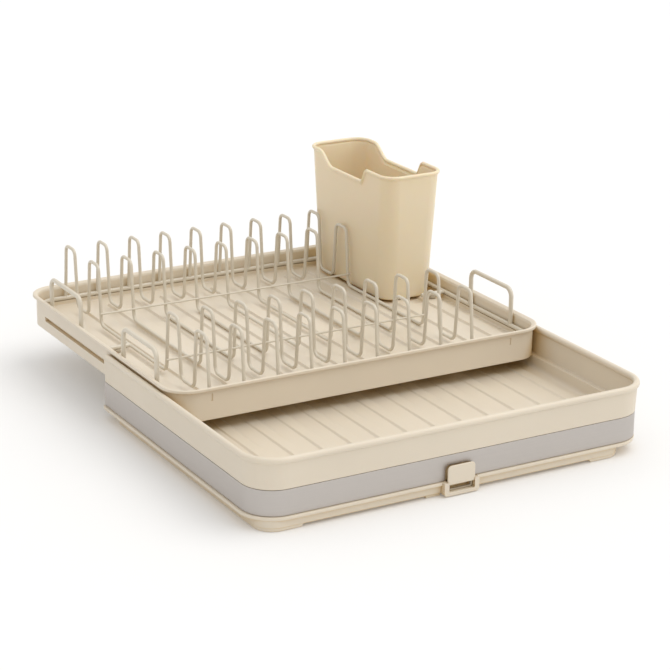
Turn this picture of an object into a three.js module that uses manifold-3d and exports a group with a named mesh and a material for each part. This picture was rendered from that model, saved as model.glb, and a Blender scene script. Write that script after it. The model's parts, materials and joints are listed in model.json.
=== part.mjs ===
// Expandable dish drainer: a lower drip tray on a base pan with a steel band and a gated spout,
// and an upper tray that slides out over its rear, carrying a wire plate rack and a cutlery cup.
// Millimetres, +Z up. X runs along the front, +Y is the way the upper tray slides out.
import * as THREE from 'three';
import { mergeVertices } from 'three/addons/utils/BufferGeometryUtils.js';
import Module from 'manifold-3d';

const wasm = await Module();
wasm.setup();

// Overall sizes and the fits that all pieces share
const bodyWidth = 352;
const lowerDepth = 272;
const lowerCornerRadius = 26;
const lowerRearRadius = 4;
const seatGap = 0.3;
const cutOverrun = 1;
const smallestRadius = 0.5;

// Heights of the lower tray, from the surface it stands on
const panBottom = 2.2;
const panTop = 11.7;
const bandTop = 32.8;
const lowerRibTop = 25.6;
const floorThickness = 2.2;
const ledgeTop = 35.1;
const beadCentre = 55.8;
const rearWallTop = 34.8;
const rearRound = 11;

// Lower tray walls
const beadRadius = 2.7;
const lowerWall = 2.9;
const bandRecess = 1.35;
const skirtWall = 2.55;
const ledgeInset = 7.8;
const wellInset = 8.4;
const wellFillet = 5.6;
const drainLength = 18;
const drainWidth = 14;
const drainY = 36;

// Flat ribs of both floors; the lower floor falls to the front below its ribs
const ribCount = 13;
const ribSideInset = 23.6;
const ribCorner = 1.6;
const ribSink = 1;
const lowerRibWidth = 10.6;
const lowerRibFront = 48;
const lowerRibRear = 176;
const lowerRibShow = 2.2;
const lowerRibFade = 180;
const upperRibWidth = 13;
const upperRibHeight = 2;
const upperRibFrontInset = 22.5;
const upperRibRearInset = 23.5;

// Steel band
const bandThickness = 1;
const bandRearSetback = 4.3;

// Base pan, its two foot runners and the pads under them
const panFlange = 1.9;
const panWall = 4.2;
const panFloor = 1.8;
const panLipHeight = 2.6;
const panCurve = 4;
const lipSideInset = 0.95;
const lipShift = -0.95;
const bowlShift = -8.5;
const bowlSideInset = 13;
const bowlFront = 0.3;
const bowlRearInset = 12.5;
const bowlCorner = 16;
const bowlRearCorner = 8;
const bowlEdge = 1.6;
const runnerWidth = 31.5;
const runnerInset = 0.4;
const runnerSlope = 4;
const runnerBottom = 0.3;
const padLength = 26;
const padWidth = 14;
const padHeight = 1.4;
const padSetback = 20;
const footBlockWidth = 41;
const footBlockDepth = 14;
const footBlockFront = 1.6;
const footBlockShift = -7.9;

// Spout near the middle of the front
const spoutX = -2.6;
const spoutProud = 5;
const bracketHalf = 15.6;
const bracketBottom = 1;
const bracketRadius = 2.4;
const mouthHalf = 11.6;
const faceSetback = 2.4;
const faceThickness = 2.2;
const cutoutHalf = 12.5;
const cutoutTop = 24.4;
const cutoutRadius = 4;
const ductFront = 0.2;
const ductHalf = 9.4;
const ductHeight = 3.1;
const ductWall = 1.2;
const sealThickness = 2;

// Gate that slides up and down in front of the duct, drawn raised
const gateHalf = 12.3;
const gateBottom = 9.2;
const gateTop = 25;
const gateThickness = 1.6;
const gateRadius = 3.4;
const gateFootRadius = 1.2;

// Upper tray, drawn slid out as far as it stands in use
const upperSideGap = 3.7;
const upperFront = 143.5;
const upperDepth = 292.3;
const upperCornerRadius = 20.3;
const upperBottom = 35.4;
const upperRibTop = 47.5;
const upperFloorThickness = 2.2;
const upperWall = 2;
const upperFillet = 1.4;
const shelfFillet = 1;
const shelfWall = 2.2;
const rimOverhang = 3;
const rimLow = 60.5;
const rimTop = 63.3;
const rimLip = 1.2;
const upperDrainCount = 5;
const upperDrainPitch = 52;
const upperDrainLength = 16;
const upperDrainWidth = 3;
const upperDrainInset = 12;
const frontMarkX = 140;
const frontMarkWidth = 1.6;
const frontMarkHeight = 6;
const frontMarkDepth = 0.6;
const frontMarkDrop = 3.4;

// Guide lugs inside the lower walls and the grooves they run in
const slideIn = 139;
const slideOut = 79;
const lugLength = 7;
const lugRearSetback = 8;
const guideZ = 46.4;
const guideHeight = 4;
const guideDepth = 3.6;

// Wire plate rack
const railRadius = 1.95;
const wireRadius = 1.45;
const railHeight = 52;
const waveCount = 9;
const waveCupGap = 5.3;
const firstWaveInset = 36.3;
const waveTop = 103.3;
const humpFootWidth = 27;
const humpTopWidth = 18.4;
const humpBend = 5.6;
const humpGap = 23.4;
const waveFootBend = 6.5;
const valleyHeight = 51.4;
const crossWireRadius = 0.85;
const crossWireHeight = 60;
const handleHeight = 84.3;
const handleWidth = 62.5;
const handleBend = 7.5;
const handleCentreShift = 74;
const strutLength = 22;
const strutFootRadius = 3.2;

// Cutlery cup in the rear right corner
const cupSideInset = 36.8;
const cupRearInset = 73.8;
const cupFootHalfX = 25.5;
const cupFootHalfY = 63.5;
const cupTopHalfX = 29.2;
const cupTopHalfY = 70.6;
const cupCornerRadius = 14;
const cupTopZ = 162.5;
const cupWall = 1.8;
const cupBead = 1.7;
const cupNotchDepth = 12;
const cupFootChamfer = 2.4;
const cupHoleRows = 4;
const cupHolePitch = 26;
const cupHoleRadius = 3;
const cupHoleSpread = 13;

// Facet counts
const cornerSteps = 6;
const rearCornerSteps = 3;
const beadSteps = 6;
const bendSteps = 3;
const wireSides = 6;
const railSides = 8;

// Colours from the photograph, with roughness and metalness
const finishes = {
  cream: { color: 0xe8deca, roughness: 0.45, metalness: 0 },
  creamShade: { color: 0xdccfb6, roughness: 0.5, metalness: 0 },
  cup: { color: 0xd6c6aa, roughness: 0.45, metalness: 0 },
  wire: { color: 0xc9bda6, roughness: 0.35, metalness: 0 },
  steel: { color: 0xc8c0ba, roughness: 0.35, metalness: 1 },
  rubber: { color: 0xb9a98c, roughness: 0.85, metalness: 0 },
};

// Values that follow from the sizes above
const halfBody = bodyWidth / 2;
const frontMost = -spoutProud;
const upperHalf = halfBody - upperSideGap;
const upperRear = upperFront + upperDepth;
const rearMost = upperRear + rimOverhang;
const originY = (frontMost + rearMost) / 2;
const lowerPlan = {
  half: halfBody, front: 0, rear: lowerDepth,
  frontRadius: lowerCornerRadius, rearRadius: lowerRearRadius,
  frontSteps: cornerSteps, rearSteps: rearCornerSteps,
};
const upperPlan = {
  half: upperHalf, front: upperFront, rear: upperRear,
  frontRadius: upperCornerRadius, rearRadius: upperCornerRadius,
  frontSteps: cornerSteps, rearSteps: cornerSteps,
};
const lipPlan = { ...lowerPlan, half: halfBody - lipSideInset, centre: lipShift };
const bowlPlan = {
  half: halfBody - bowlSideInset, front: bowlFront, rear: lowerDepth - bowlRearInset, centre: bowlShift,
  frontRadius: bowlCorner, rearRadius: bowlRearCorner, frontSteps: cornerSteps, rearSteps: rearCornerSteps,
};
const ribPitch = 2 * (halfBody - ribSideInset) / (ribCount - 1);
const upperFloorTop = upperRibTop - upperRibHeight;
const cupX = upperHalf - cupSideInset;
const cupY = upperRear - cupRearInset;
const lugHeight = guideHeight - 2 * seatGap;
const lugReach = upperSideGap + guideDepth - lowerWall - seatGap;
const railInset = upperWall + railRadius + 2 * seatGap;
const railX = upperHalf - railInset;
const railFront = upperFront + railInset;
const railRear = upperRear - railInset;
const wireFloor = upperRibTop + seatGap + wireRadius;
const railCrown = railHeight + railRadius + seatGap;
const funnelFront = drainY - drainWidth / 2;
const funnelRear = drainY + drainWidth / 2;
const shelfTop = railHeight - railRadius - seatGap;
const shelfInset = guideDepth + shelfWall;

// Points on a quarter arc of a plan corner
function cornerPoints(centreX, centreY, radius, startAngle, steps) {
  const points = [];
  for (let i = 0; i <= steps; i++) {
    const angle = startAngle + (Math.PI / 2) * (i / steps);
    points.push([centreX + radius * Math.cos(angle), centreY + radius * Math.sin(angle)]);
  }
  return points;
}

// Rounded rectangle in plan, drawn in from its outside by an inset, anticlockwise from the front left
function outline(plan, inset) {
  const half = plan.half - inset;
  const front = plan.front + inset;
  const rear = plan.rear - inset;
  const frontR = Math.max(plan.frontRadius - inset, smallestRadius);
  const rearR = Math.max(plan.rearRadius - inset, smallestRadius);
  return [
    ...cornerPoints(-half + frontR, front + frontR, frontR, Math.PI, plan.frontSteps),
    ...cornerPoints(half - frontR, front + frontR, frontR, 1.5 * Math.PI, plan.frontSteps),
    ...cornerPoints(half - rearR, rear - rearR, rearR, 0, plan.rearSteps),
    ...cornerPoints(-half + rearR, rear - rearR, rearR, 0.5 * Math.PI, plan.rearSteps),
  ].map(([x, y]) => [(plan.centre ?? 0) + x, y]);
}

// Signed volume of an indexed triangle list
function signedVolume(points, faces) {
  let total = 0;
  const cross = new THREE.Vector3();
  for (const [a, b, c] of faces) {
    total += points[a].dot(cross.crossVectors(points[b], points[c])) / 6;
  }
  return total;
}

// Closed skin through a row of rings: capped at both ends, or looped back to its first ring
function skin(rings, looped = false) {
  const size = rings[0].length;
  const points = rings.flat();
  const faces = [];
  const spans = looped ? rings.length : rings.length - 1;
  for (let r = 0; r < spans; r++) {
    const low = r * size;
    const high = ((r + 1) % rings.length) * size;
    for (let i = 0; i < size; i++) {
      const j = (i + 1) % size;
      faces.push([low + i, low + j, high + j], [low + i, high + j, high + i]);
    }
  }
  if (!looped) {
    const flat = (ring) => ring.map((p) => new THREE.Vector2(p.x, p.y));
    const last = (rings.length - 1) * size;
    for (const [a, b, c] of THREE.ShapeUtils.triangulateShape(flat(rings[0]), [])) {
      faces.push([c, b, a]);
    }
    for (const [a, b, c] of THREE.ShapeUtils.triangulateShape(flat(rings.at(-1)), [])) {
      faces.push([last + a, last + b, last + c]);
    }
  }
  if (signedVolume(points, faces) < 0) {
    faces.forEach((face) => face.reverse());
  }
  const geometry = new THREE.BufferGeometry();
  geometry.setAttribute('position', new THREE.Float32BufferAttribute(points.flatMap((p) => [p.x, p.y, p.z]), 3));
  geometry.setIndex(faces.flat());
  return geometry;
}

// Rings from a profile of [inset, height] pairs carried round a plan; a third entry is its share of a fall along Y
function mouldRings(plan, profile, fall = () => 0) {
  return profile.map(([inset, z, share = 0]) => (
    outline(plan, inset).map(([x, y]) => new THREE.Vector3(x, y, z + share * fall(y)))
  ));
}

function moulding(plan, profile, fall) {
  return skin(mouldRings(plan, profile, fall));
}

// Solid kept as a manifold, so that it can be joined and cut
function solid(geometry) {
  const bare = geometry.clone();
  bare.deleteAttribute('normal');
  bare.deleteAttribute('uv');
  const merged = mergeVertices(bare);
  const mesh = new wasm.Mesh({
    numProp: 3,
    vertProperties: Float32Array.from(merged.attributes.position.array),
    triVerts: Uint32Array.from(merged.index.array),
  });
  return new wasm.Manifold(mesh);
}

function joined(first, ...others) {
  return others.reduce((sum, other) => sum.add(other), first);
}

function cut(first, ...tools) {
  return tools.reduce((rest, tool) => rest.subtract(tool), first);
}

// Flat-faced geometry of a manifold
function facets(manifold) {
  const mesh = manifold.getMesh();
  const geometry = new THREE.BufferGeometry();
  geometry.setAttribute('position', new THREE.BufferAttribute(mesh.vertProperties, 3));
  geometry.setIndex(new THREE.BufferAttribute(mesh.triVerts, 1));
  return geometry;
}

function block(x0, x1, y0, y1, z0, z1) {
  const geometry = new THREE.BoxGeometry(x1 - x0, y1 - y0, z1 - z0);
  geometry.translate((x0 + x1) / 2, (y0 + y1) / 2, (z0 + z1) / 2);
  return solid(geometry);
}

// Upright prism of a plan shape
function prism(shape, z0, z1, curveSegments = bendSteps) {
  const geometry = new THREE.ExtrudeGeometry(shape, { depth: z1 - z0, bevelEnabled: false, curveSegments });
  geometry.translate(0, 0, z0);
  return solid(geometry);
}

// Prism of a shape drawn in X and Z, from one Y to another
function facePrism(shape, y0, y1, curveSegments = bendSteps) {
  const geometry = new THREE.ExtrudeGeometry(shape, { depth: y1 - y0, bevelEnabled: false, curveSegments });
  geometry.rotateX(Math.PI / 2);
  geometry.translate(0, y1, 0);
  return solid(geometry);
}

// Slot shape with round ends, lying along Y
function slotShape(x, y0, y1, width) {
  const r = width / 2;
  const shape = new THREE.Shape();
  shape.absarc(x, y0 + r, r, Math.PI, 2 * Math.PI, false);
  shape.absarc(x, y1 - r, r, 0, Math.PI, false);
  return shape;
}

// Rectangle with two corner radii, upper and lower
function panelShape(half, z0, z1, upperRadius, lowerRadius) {
  const low = Math.max(lowerRadius, smallestRadius);
  const shape = new THREE.Shape();
  shape.absarc(-half + low, z0 + low, low, Math.PI, 1.5 * Math.PI, false);
  shape.absarc(half - low, z0 + low, low, 1.5 * Math.PI, 2 * Math.PI, false);
  shape.absarc(half - upperRadius, z1 - upperRadius, upperRadius, 0, Math.PI / 2, false);
  shape.absarc(-half + upperRadius, z1 - upperRadius, upperRadius, Math.PI / 2, Math.PI, false);
  return shape;
}

// Flat ribs along Y, evenly spaced about the middle, rooted in a floor whose height is given along Y
function floorRibs(width, front, rear, top, floorAt) {
  const plan = {
    half: width / 2, front, rear, frontRadius: ribCorner, rearRadius: ribCorner,
    frontSteps: bendSteps - 1, rearSteps: bendSteps - 1,
  };
  const ribs = [];
  for (let i = 0; i < ribCount; i++) {
    const centre = (i - (ribCount - 1) / 2) * ribPitch;
    const ring = (heightAt) => outline(plan, 0).map(([x, y]) => new THREE.Vector3(centre + x, y, heightAt(y)));
    ribs.push(solid(skin([ring((y) => floorAt(y) - ribSink), ring(() => top)])));
  }
  return joined(...ribs);
}

// Wire path through given points, each one a step of the sweep, with mitred bends
class WirePath extends THREE.Curve {
  constructor(points) {
    super();
    this.points = points;
  }

  getUtoTmapping(u) {
    return u;
  }

  getPoint(t, target = new THREE.Vector3()) {
    return target.copy(this.points[Math.round(t * (this.points.length - 1))]);
  }

  getTangent(t, target = new THREE.Vector3()) {
    const i = Math.round(t * (this.points.length - 1));
    const here = this.points[i];
    const before = this.points[Math.max(i - 1, 0)];
    const after = this.points[Math.min(i + 1, this.points.length - 1)];
    const arriving = here.clone().sub(before).normalize();
    const leaving = after.clone().sub(here).normalize();
    return target.copy(arriving).add(leaving).normalize();
  }
}

// Round bar swept along a path
function bar(points, radius, sides) {
  const section = new THREE.Shape();
  section.absarc(0, 0, radius, 0, 2 * Math.PI, false);
  return new THREE.ExtrudeGeometry(section, {
    steps: points.length - 1,
    curveSegments: sides / 2,
    bevelEnabled: false,
    extrudePath: new WirePath(points),
  });
}

// Points of a polyline whose inner corners are bent to their radii
function bentPath(corners, radii, steps) {
  const points = [corners[0]];
  for (let i = 1; i < corners.length - 1; i++) {
    const arriving = corners[i].clone().sub(corners[i - 1]).normalize();
    const leaving = corners[i + 1].clone().sub(corners[i]).normalize();
    const turn = arriving.angleTo(leaving);
    const reach = radii[i] * Math.tan(turn / 2);
    const normal = leaving.clone().addScaledVector(arriving, -leaving.dot(arriving)).normalize();
    const start = corners[i].clone().addScaledVector(arriving, -reach);
    for (let s = 0; s <= steps; s++) {
      const angle = (turn * s) / steps;
      const point = start.clone();
      point.addScaledVector(arriving, radii[i] * Math.sin(angle));
      point.addScaledVector(normal, radii[i] * (1 - Math.cos(angle)));
      points.push(point);
    }
  }
  points.push(corners.at(-1));
  return points;
}

// Round bead at the top of a wall, from its outer face over to its inner face
function beadProfile(centreZ, radius) {
  const profile = [];
  for (let i = 0; i <= beadSteps; i++) {
    const angle = -Math.PI / 2 - (1.5 * Math.PI * i) / beadSteps;
    profile.push([radius * Math.cos(angle), centreZ + radius * Math.sin(angle)]);
  }
  return profile;
}

// Cutting tool that rounds the upper rear ends of the side walls
function rearRounding() {
  const y = lowerDepth - rearRound;
  const z = beadCentre + beadRadius - rearRound;
  const shape = new THREE.Shape();
  shape.moveTo(y, z + rearRound + cutOverrun);
  shape.lineTo(y + rearRound + beadRadius + cutOverrun, z + rearRound + cutOverrun);
  shape.lineTo(y + rearRound + beadRadius + cutOverrun, z);
  shape.absarc(y, z, rearRound, 0, Math.PI / 2, false);
  const reach = halfBody + beadRadius + cutOverrun;
  return prism(shape, -reach, reach, cornerSteps).rotate([90, 0, 90]);
}

// Height of the lower floor above or below its rib tops, rising to the rear
function floorFall(y) {
  return lowerRibShow * ((y - lowerRibFront) / (lowerRibFade - lowerRibFront) - 1);
}

const lowerFloorAt = (y) => lowerRibTop + floorFall(y);

// Lower drip tray: skirt, recess for the band, beaded wall, ledge for the upper tray and ribbed floor
function lowerTray() {
  const skirtBottom = panTop + seatGap;
  const body = solid(moulding(lowerPlan, [
    [bandRecess + skirtWall, lowerRibTop - floorThickness, 1],
    [bandRecess + skirtWall, skirtBottom],
    [bandRecess, skirtBottom],
    [bandRecess, bandTop],
    [0, bandTop],
    ...beadProfile(beadCentre, beadRadius),
    [lowerWall, ledgeTop],
    [ledgeInset, ledgeTop],
    [wellInset, lowerRibTop + wellFillet, 1],
    [wellInset + 0.3 * wellFillet, lowerRibTop + 0.3 * wellFillet, 1],
    [wellInset + wellFillet, lowerRibTop, 1],
  ], floorFall));
  const opening = block(
    -halfBody + lowerWall, halfBody - lowerWall,
    lowerDepth - ledgeInset - wellFillet, lowerDepth + beadRadius + cutOverrun,
    rearWallTop, beadCentre + beadRadius + cutOverrun,
  );
  const ribs = floorRibs(lowerRibWidth, lowerRibFront, lowerRibRear, lowerRibTop, lowerFloorAt);
  const drain = block(
    spoutX - drainLength / 2, spoutX + drainLength / 2, funnelFront, funnelRear,
    lowerFloorAt(funnelFront) - floorThickness - cutOverrun, lowerRibTop + cutOverrun,
  );
  const spoutRecess = facePrism(
    panelShape(cutoutHalf, skirtBottom - cutOverrun, cutoutTop, cutoutRadius, 0),
    -cutOverrun, faceSetback + faceThickness + seatGap,
  ).translate([spoutX, 0, 0]);
  const lugs = [-1, 1].map((side) => guideLug(side));
  const rearPanel = solid(moulding(lowerPlan, [[0, skirtBottom], [0, bandTop + seatGap]])).intersect(block(
    -halfBody, halfBody, lowerDepth - bandRearSetback + seatGap, lowerDepth,
    skirtBottom, bandTop + seatGap,
  ));
  return facets(cut(joined(body, ribs, rearPanel, ...lugs), opening, drain, spoutRecess, rearRounding()));
}

// Lug on the inner face of a side wall, rooted in the wall
function guideLug(side) {
  const root = side * (halfBody - lowerWall / 2);
  const tip = side * (halfBody - lowerWall - lugReach);
  const rear = lowerDepth - lugRearSetback;
  return block(
    Math.min(root, tip), Math.max(root, tip), rear - lugLength, rear,
    guideZ - lugHeight / 2, guideZ + lugHeight / 2,
  );
}

// Strip that wraps the two sides and the front, flush with the tray wall
function steelBand() {
  const outer = outline(lowerPlan, 0);
  const inner = outline(lowerPlan, bandThickness);
  const rear = lowerDepth - bandRearSetback;
  const bends = 2 * (cornerSteps + 1);
  const strip = new THREE.Shape();
  strip.moveTo(-halfBody, rear);
  outer.slice(0, bends).forEach(([x, y]) => strip.lineTo(x, y));
  strip.lineTo(halfBody, rear);
  strip.lineTo(halfBody - bandThickness, rear);
  inner.slice(0, bends).reverse().forEach(([x, y]) => strip.lineTo(x, y));
  strip.lineTo(-halfBody + bandThickness, rear);
  const band = prism(strip, panTop + seatGap, bandTop - seatGap);
  const cutout = facePrism(
    panelShape(cutoutHalf, panTop - cutOverrun, cutoutTop, cutoutRadius, 0),
    -cutOverrun, bandThickness + cutOverrun,
  ).translate([spoutX, 0, 0]);
  return facets(cut(band, cutout));
}

// Middle of a foot runner, and of a pad at either end of it
const runnerX = bowlPlan.half - runnerWidth / 2;

function padCentre(side, end) {
  return [bowlShift + side * runnerX, end < 0 ? bowlPlan.front + padSetback : bowlPlan.rear - padSetback];
}

function padShape(side, end, grow) {
  const [x, y] = padCentre(side, end);
  return slotShape(x, y - padLength / 2 - grow, y + padLength / 2 + grow, padWidth + 2 * grow);
}

// Foot runner along a side of the bowl, with its inner flank sloping
function runner(side) {
  const rise = panBottom + panFloor / 2 - runnerBottom;
  const body = solid(moulding(bowlPlan, [[runnerInset, runnerBottom], [runnerInset, runnerBottom + rise]]));
  const inner = bowlShift + side * (bowlPlan.half - runnerWidth);
  const outer = bowlShift + side * (bowlPlan.half + cutOverrun);
  const strip = new THREE.Shape();
  strip.moveTo(inner, runnerBottom - cutOverrun);
  strip.lineTo(outer, runnerBottom - cutOverrun);
  strip.lineTo(outer, runnerBottom + rise + cutOverrun);
  strip.lineTo(inner - side * runnerSlope, runnerBottom + rise + cutOverrun);
  return body.intersect(facePrism(strip, -cutOverrun, lowerDepth + cutOverrun));
}

// Shallow pan: a lip as wide as the band over a smaller bowl with two foot runners and a foot block by the spout
function basePan() {
  const lipLow = panTop - panLipHeight;
  const bowlWall = panWall + seatGap;
  const body = solid(skin([
    ...mouldRings(bowlPlan, [
      [bowlEdge, panBottom],
      [0.3 * bowlEdge, panBottom + 0.3 * bowlEdge],
      [0, panBottom + bowlEdge],
      [0, lipLow],
    ]),
    ...mouldRings(lipPlan, [
      [-panFlange, lipLow],
      [-panFlange, panTop],
      [panWall, panTop],
      [panWall, lipLow + panFloor],
    ]),
    ...mouldRings(bowlPlan, [
      [bowlWall, lipLow + panFloor],
      [bowlWall, panBottom + panFloor + 0.6 * panCurve],
      [bowlWall + panCurve, panBottom + panFloor],
    ]),
  ]));
  const runners = [-1, 1].map((side) => runner(side));
  const blockX = spoutX + footBlockShift;
  const footBlock = block(
    blockX - footBlockWidth / 2, blockX + footBlockWidth / 2, footBlockFront, footBlockFront + footBlockDepth,
    runnerBottom, panBottom + panFloor / 2,
  );
  const sockets = [];
  for (const side of [-1, 1]) {
    for (const end of [-1, 1]) {
      sockets.push(prism(padShape(side, end, seatGap), runnerBottom - cutOverrun, padHeight + seatGap));
    }
  }
  const bracketRoom = block(
    spoutX - bracketHalf - seatGap, spoutX + bracketHalf + seatGap, -panFlange - cutOverrun,
    faceSetback + faceThickness + seatGap, runnerBottom - cutOverrun, panTop + cutOverrun,
  );
  const ductRoom = block(
    spoutX - ductHalf - ductWall - seatGap, spoutX + ductHalf + ductWall + seatGap,
    -cutOverrun, bowlFront + bowlWall + panCurve + seatGap, panBottom + panFloor, panTop + cutOverrun,
  );
  return facets(cut(joined(body, ...runners, footBlock), ...sockets, bracketRoom, ductRoom));
}

function footPad(side, end) {
  return facets(prism(padShape(side, end, 0), 0, padHeight));
}

// Heights and depths inside the spout that its pieces share
const ductBottom = panBottom + panFloor + seatGap + ductWall;
const ductTop = ductBottom + ductHeight;
const mouthBottom = ductBottom - ductWall - seatGap;
const sealFront = ductFront - seatGap - sealThickness;
const gateBack = sealFront - seatGap;
const gateFront = gateBack - gateThickness;

// Spout: a bracket round the mouth, a face behind the gate, and a duct up to the drain hole
function spoutHousing() {
  const faceRear = faceSetback + faceThickness;
  const bracket = facePrism(
    panelShape(bracketHalf, bracketBottom, panTop, smallestRadius, bracketRadius), -spoutProud, faceRear,
  );
  const face = facePrism(
    panelShape(cutoutHalf - seatGap, mouthBottom, cutoutTop - seatGap, cutoutRadius, 0), faceSetback, faceRear,
  );
  const mouth = block(
    -mouthHalf, mouthHalf, -spoutProud - cutOverrun, faceSetback, mouthBottom, panTop + cutOverrun,
  );
  const gateSlot = block(
    -gateHalf - seatGap, gateHalf + seatGap, gateFront - seatGap, gateBack + seatGap,
    mouthBottom, panTop + cutOverrun,
  );
  const duct = block(
    -ductHalf - ductWall, ductHalf + ductWall, ductFront, funnelRear + ductWall,
    ductBottom - ductWall, ductTop + ductWall,
  );
  const funnel = block(
    -ductHalf - ductWall, ductHalf + ductWall, funnelFront - ductWall, funnelRear + ductWall,
    ductBottom, lowerFloorAt(funnelFront) - floorThickness - seatGap,
  );
  const bore = block(-ductHalf, ductHalf, ductFront - cutOverrun, funnelRear, ductBottom, ductTop);
  const drop = block(-ductHalf, ductHalf, funnelFront, funnelRear, ductBottom, lowerRibTop + cutOverrun);
  const shell = cut(joined(bracket, face), mouth, gateSlot);
  return facets(cut(joined(shell, duct, funnel), bore, drop).translate([spoutX, 0, 0]));
}

// Rectangular ring of rubber between the duct's front end and the gate
function spoutSeal() {
  const half = ductHalf + ductWall;
  const ring = block(-half, half, sealFront, sealFront + sealThickness, ductBottom - ductWall, ductTop + ductWall);
  const hole = block(
    -ductHalf, ductHalf, sealFront - cutOverrun, sealFront + sealThickness + cutOverrun, ductBottom, ductTop,
  );
  return facets(cut(ring, hole).translate([spoutX, 0, 0]));
}

// Gate plate with round corners, whose edges run in the slots of the bracket's legs
function spoutGate() {
  const plate = facePrism(panelShape(gateHalf, gateBottom, gateTop, gateRadius, gateFootRadius), gateFront, gateBack);
  return facets(plate.translate([spoutX, 0, 0]));
}

// Upper tray: skirt, guide grooves, rolled rim, a shelf for the rack's rail and a ribbed floor with drain slots
function upperTray() {
  const rimHeight = rimTop - rimLow;
  const body = solid(moulding(upperPlan, [
    [upperWall, upperFloorTop - upperFloorThickness],
    [upperWall, upperBottom],
    [0, upperBottom],
    [0, rimLow + rimLip],
    [-rimOverhang + rimLip, rimLow + rimLip],
    [-rimOverhang + rimLip, rimLow],
    [-rimOverhang, rimLow],
    [-rimOverhang, rimLow + 0.5 * rimHeight],
    [-0.8 * rimOverhang, rimLow + 0.85 * rimHeight],
    [-0.5 * rimOverhang, rimTop],
    [-0.1 * rimOverhang, rimLow + 0.9 * rimHeight],
    [0.6 * upperWall, rimLow + 0.5 * rimHeight],
    [upperWall, rimLow - 0.1 * rimHeight],
    [upperWall, shelfTop + shelfFillet],
    [upperWall + shelfFillet, shelfTop],
    [shelfInset, shelfTop],
    [shelfInset, upperFloorTop + upperFillet],
    [shelfInset + upperFillet, upperFloorTop],
  ]));
  const guides = [-1, 1].map((side) => guideGroove(side));
  const ribs = floorRibs(
    upperRibWidth, upperFront + upperRibFrontInset, upperRear - upperRibRearInset, upperRibTop, () => upperFloorTop,
  );
  const drains = [];
  for (let i = 0; i < upperDrainCount; i++) {
    const x = (i - (upperDrainCount - 1) / 2) * upperDrainPitch;
    drains.push(block(
      x - upperDrainLength / 2, x + upperDrainLength / 2,
      upperFront + upperDrainInset, upperFront + upperDrainInset + upperDrainWidth,
      upperFloorTop - upperFloorThickness - cutOverrun, upperFloorTop + cutOverrun,
    ));
  }
  const marks = [-1, 1].map((side) => block(
    side * frontMarkX - frontMarkWidth / 2, side * frontMarkX + frontMarkWidth / 2,
    upperFront - cutOverrun, upperFront + frontMarkDepth,
    rimLow - frontMarkDrop - frontMarkHeight, rimLow - frontMarkDrop,
  ));
  return facets(cut(joined(body, ribs), ...guides, ...drains, ...marks));
}

// Groove in a side wall, as long as the lug and the whole slide
function guideGroove(side) {
  const lugRear = lowerDepth - lugRearSetback;
  const y0 = lugRear - lugLength - slideOut - seatGap;
  const y1 = lugRear + slideIn + seatGap;
  const face = side * (upperHalf + cutOverrun);
  const bottom = side * (upperHalf - guideDepth);
  return block(
    Math.min(face, bottom), Math.max(face, bottom), y0, y1,
    guideZ - guideHeight / 2, guideZ + guideHeight / 2,
  );
}

// Closed rail round the foot of the rack
function rackRail() {
  const plan = {
    half: railX, front: railFront, rear: railRear,
    frontRadius: upperCornerRadius - railInset, rearRadius: upperCornerRadius - railInset,
    frontSteps: cornerSteps, rearSteps: cornerSteps,
  };
  const rings = [];
  for (let i = 0; i < railSides; i++) {
    const angle = (2 * Math.PI * i) / railSides;
    const inset = -railRadius * Math.cos(angle);
    const z = railHeight + railRadius * Math.sin(angle);
    rings.push(outline(plan, inset).map(([x, y]) => new THREE.Vector3(x, y, z)));
  }
  return skin(rings, true);
}

function waveX(index) {
  const last = cupX - cupFootHalfX - waveCupGap;
  const first = -halfBody + firstWaveInset;
  return first + (last - first) * index / (waveCount - 1);
}

// Feet of the four humps of a wave wire, in pairs from the rear rail to the front rail
function humpFeet() {
  const second = humpFootWidth + humpGap;
  return [
    [railRear, railRear - humpFootWidth],
    [railRear - second, railRear - second - humpFootWidth],
    [railFront + second + humpFootWidth, railFront + second],
    [railFront + humpFootWidth, railFront],
  ];
}

// Heights of those feet: on the rail, in the valleys between two humps, and along the floor
const footHeights = [
  [railCrown, valleyHeight], [valleyHeight, wireFloor], [wireFloor, valleyHeight], [valleyHeight, railCrown],
];

// Continuous wire: up from the rear rail, over two humps, along the floor, over two more to the front rail
function waveWire(index) {
  const x = waveX(index);
  const top = waveTop - wireRadius;
  const lean = (humpFootWidth - humpTopWidth) / 2;
  const corners = [];
  const radii = [];
  humpFeet().forEach(([rear, front], i) => {
    const [rearHeight, frontHeight] = footHeights[i];
    corners.push(new THREE.Vector3(x, rear, rearHeight));
    corners.push(new THREE.Vector3(x, rear - lean, top));
    corners.push(new THREE.Vector3(x, front + lean, top));
    corners.push(new THREE.Vector3(x, front, frontHeight));
    radii.push(waveFootBend, humpBend, humpBend, waveFootBend);
  });
  return bar(bentPath(corners, radii, bendSteps), wireRadius, wireSides);
}

// Straight wire across the legs of all the wave wires, on their front side
function crossWire([foot, otherFoot]) {
  const share = (crossWireHeight - wireFloor) / (waveTop - wireRadius - wireFloor);
  const lean = share * (humpFootWidth - humpTopWidth) / 2;
  const y = foot + Math.sign(otherFoot - foot) * lean - wireRadius - crossWireRadius - seatGap;
  const ends = [waveX(0) - wireRadius, waveX(waveCount - 1) + wireRadius];
  return bar(ends.map((x) => new THREE.Vector3(x, y, crossWireHeight)), crossWireRadius, wireSides);
}

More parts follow.
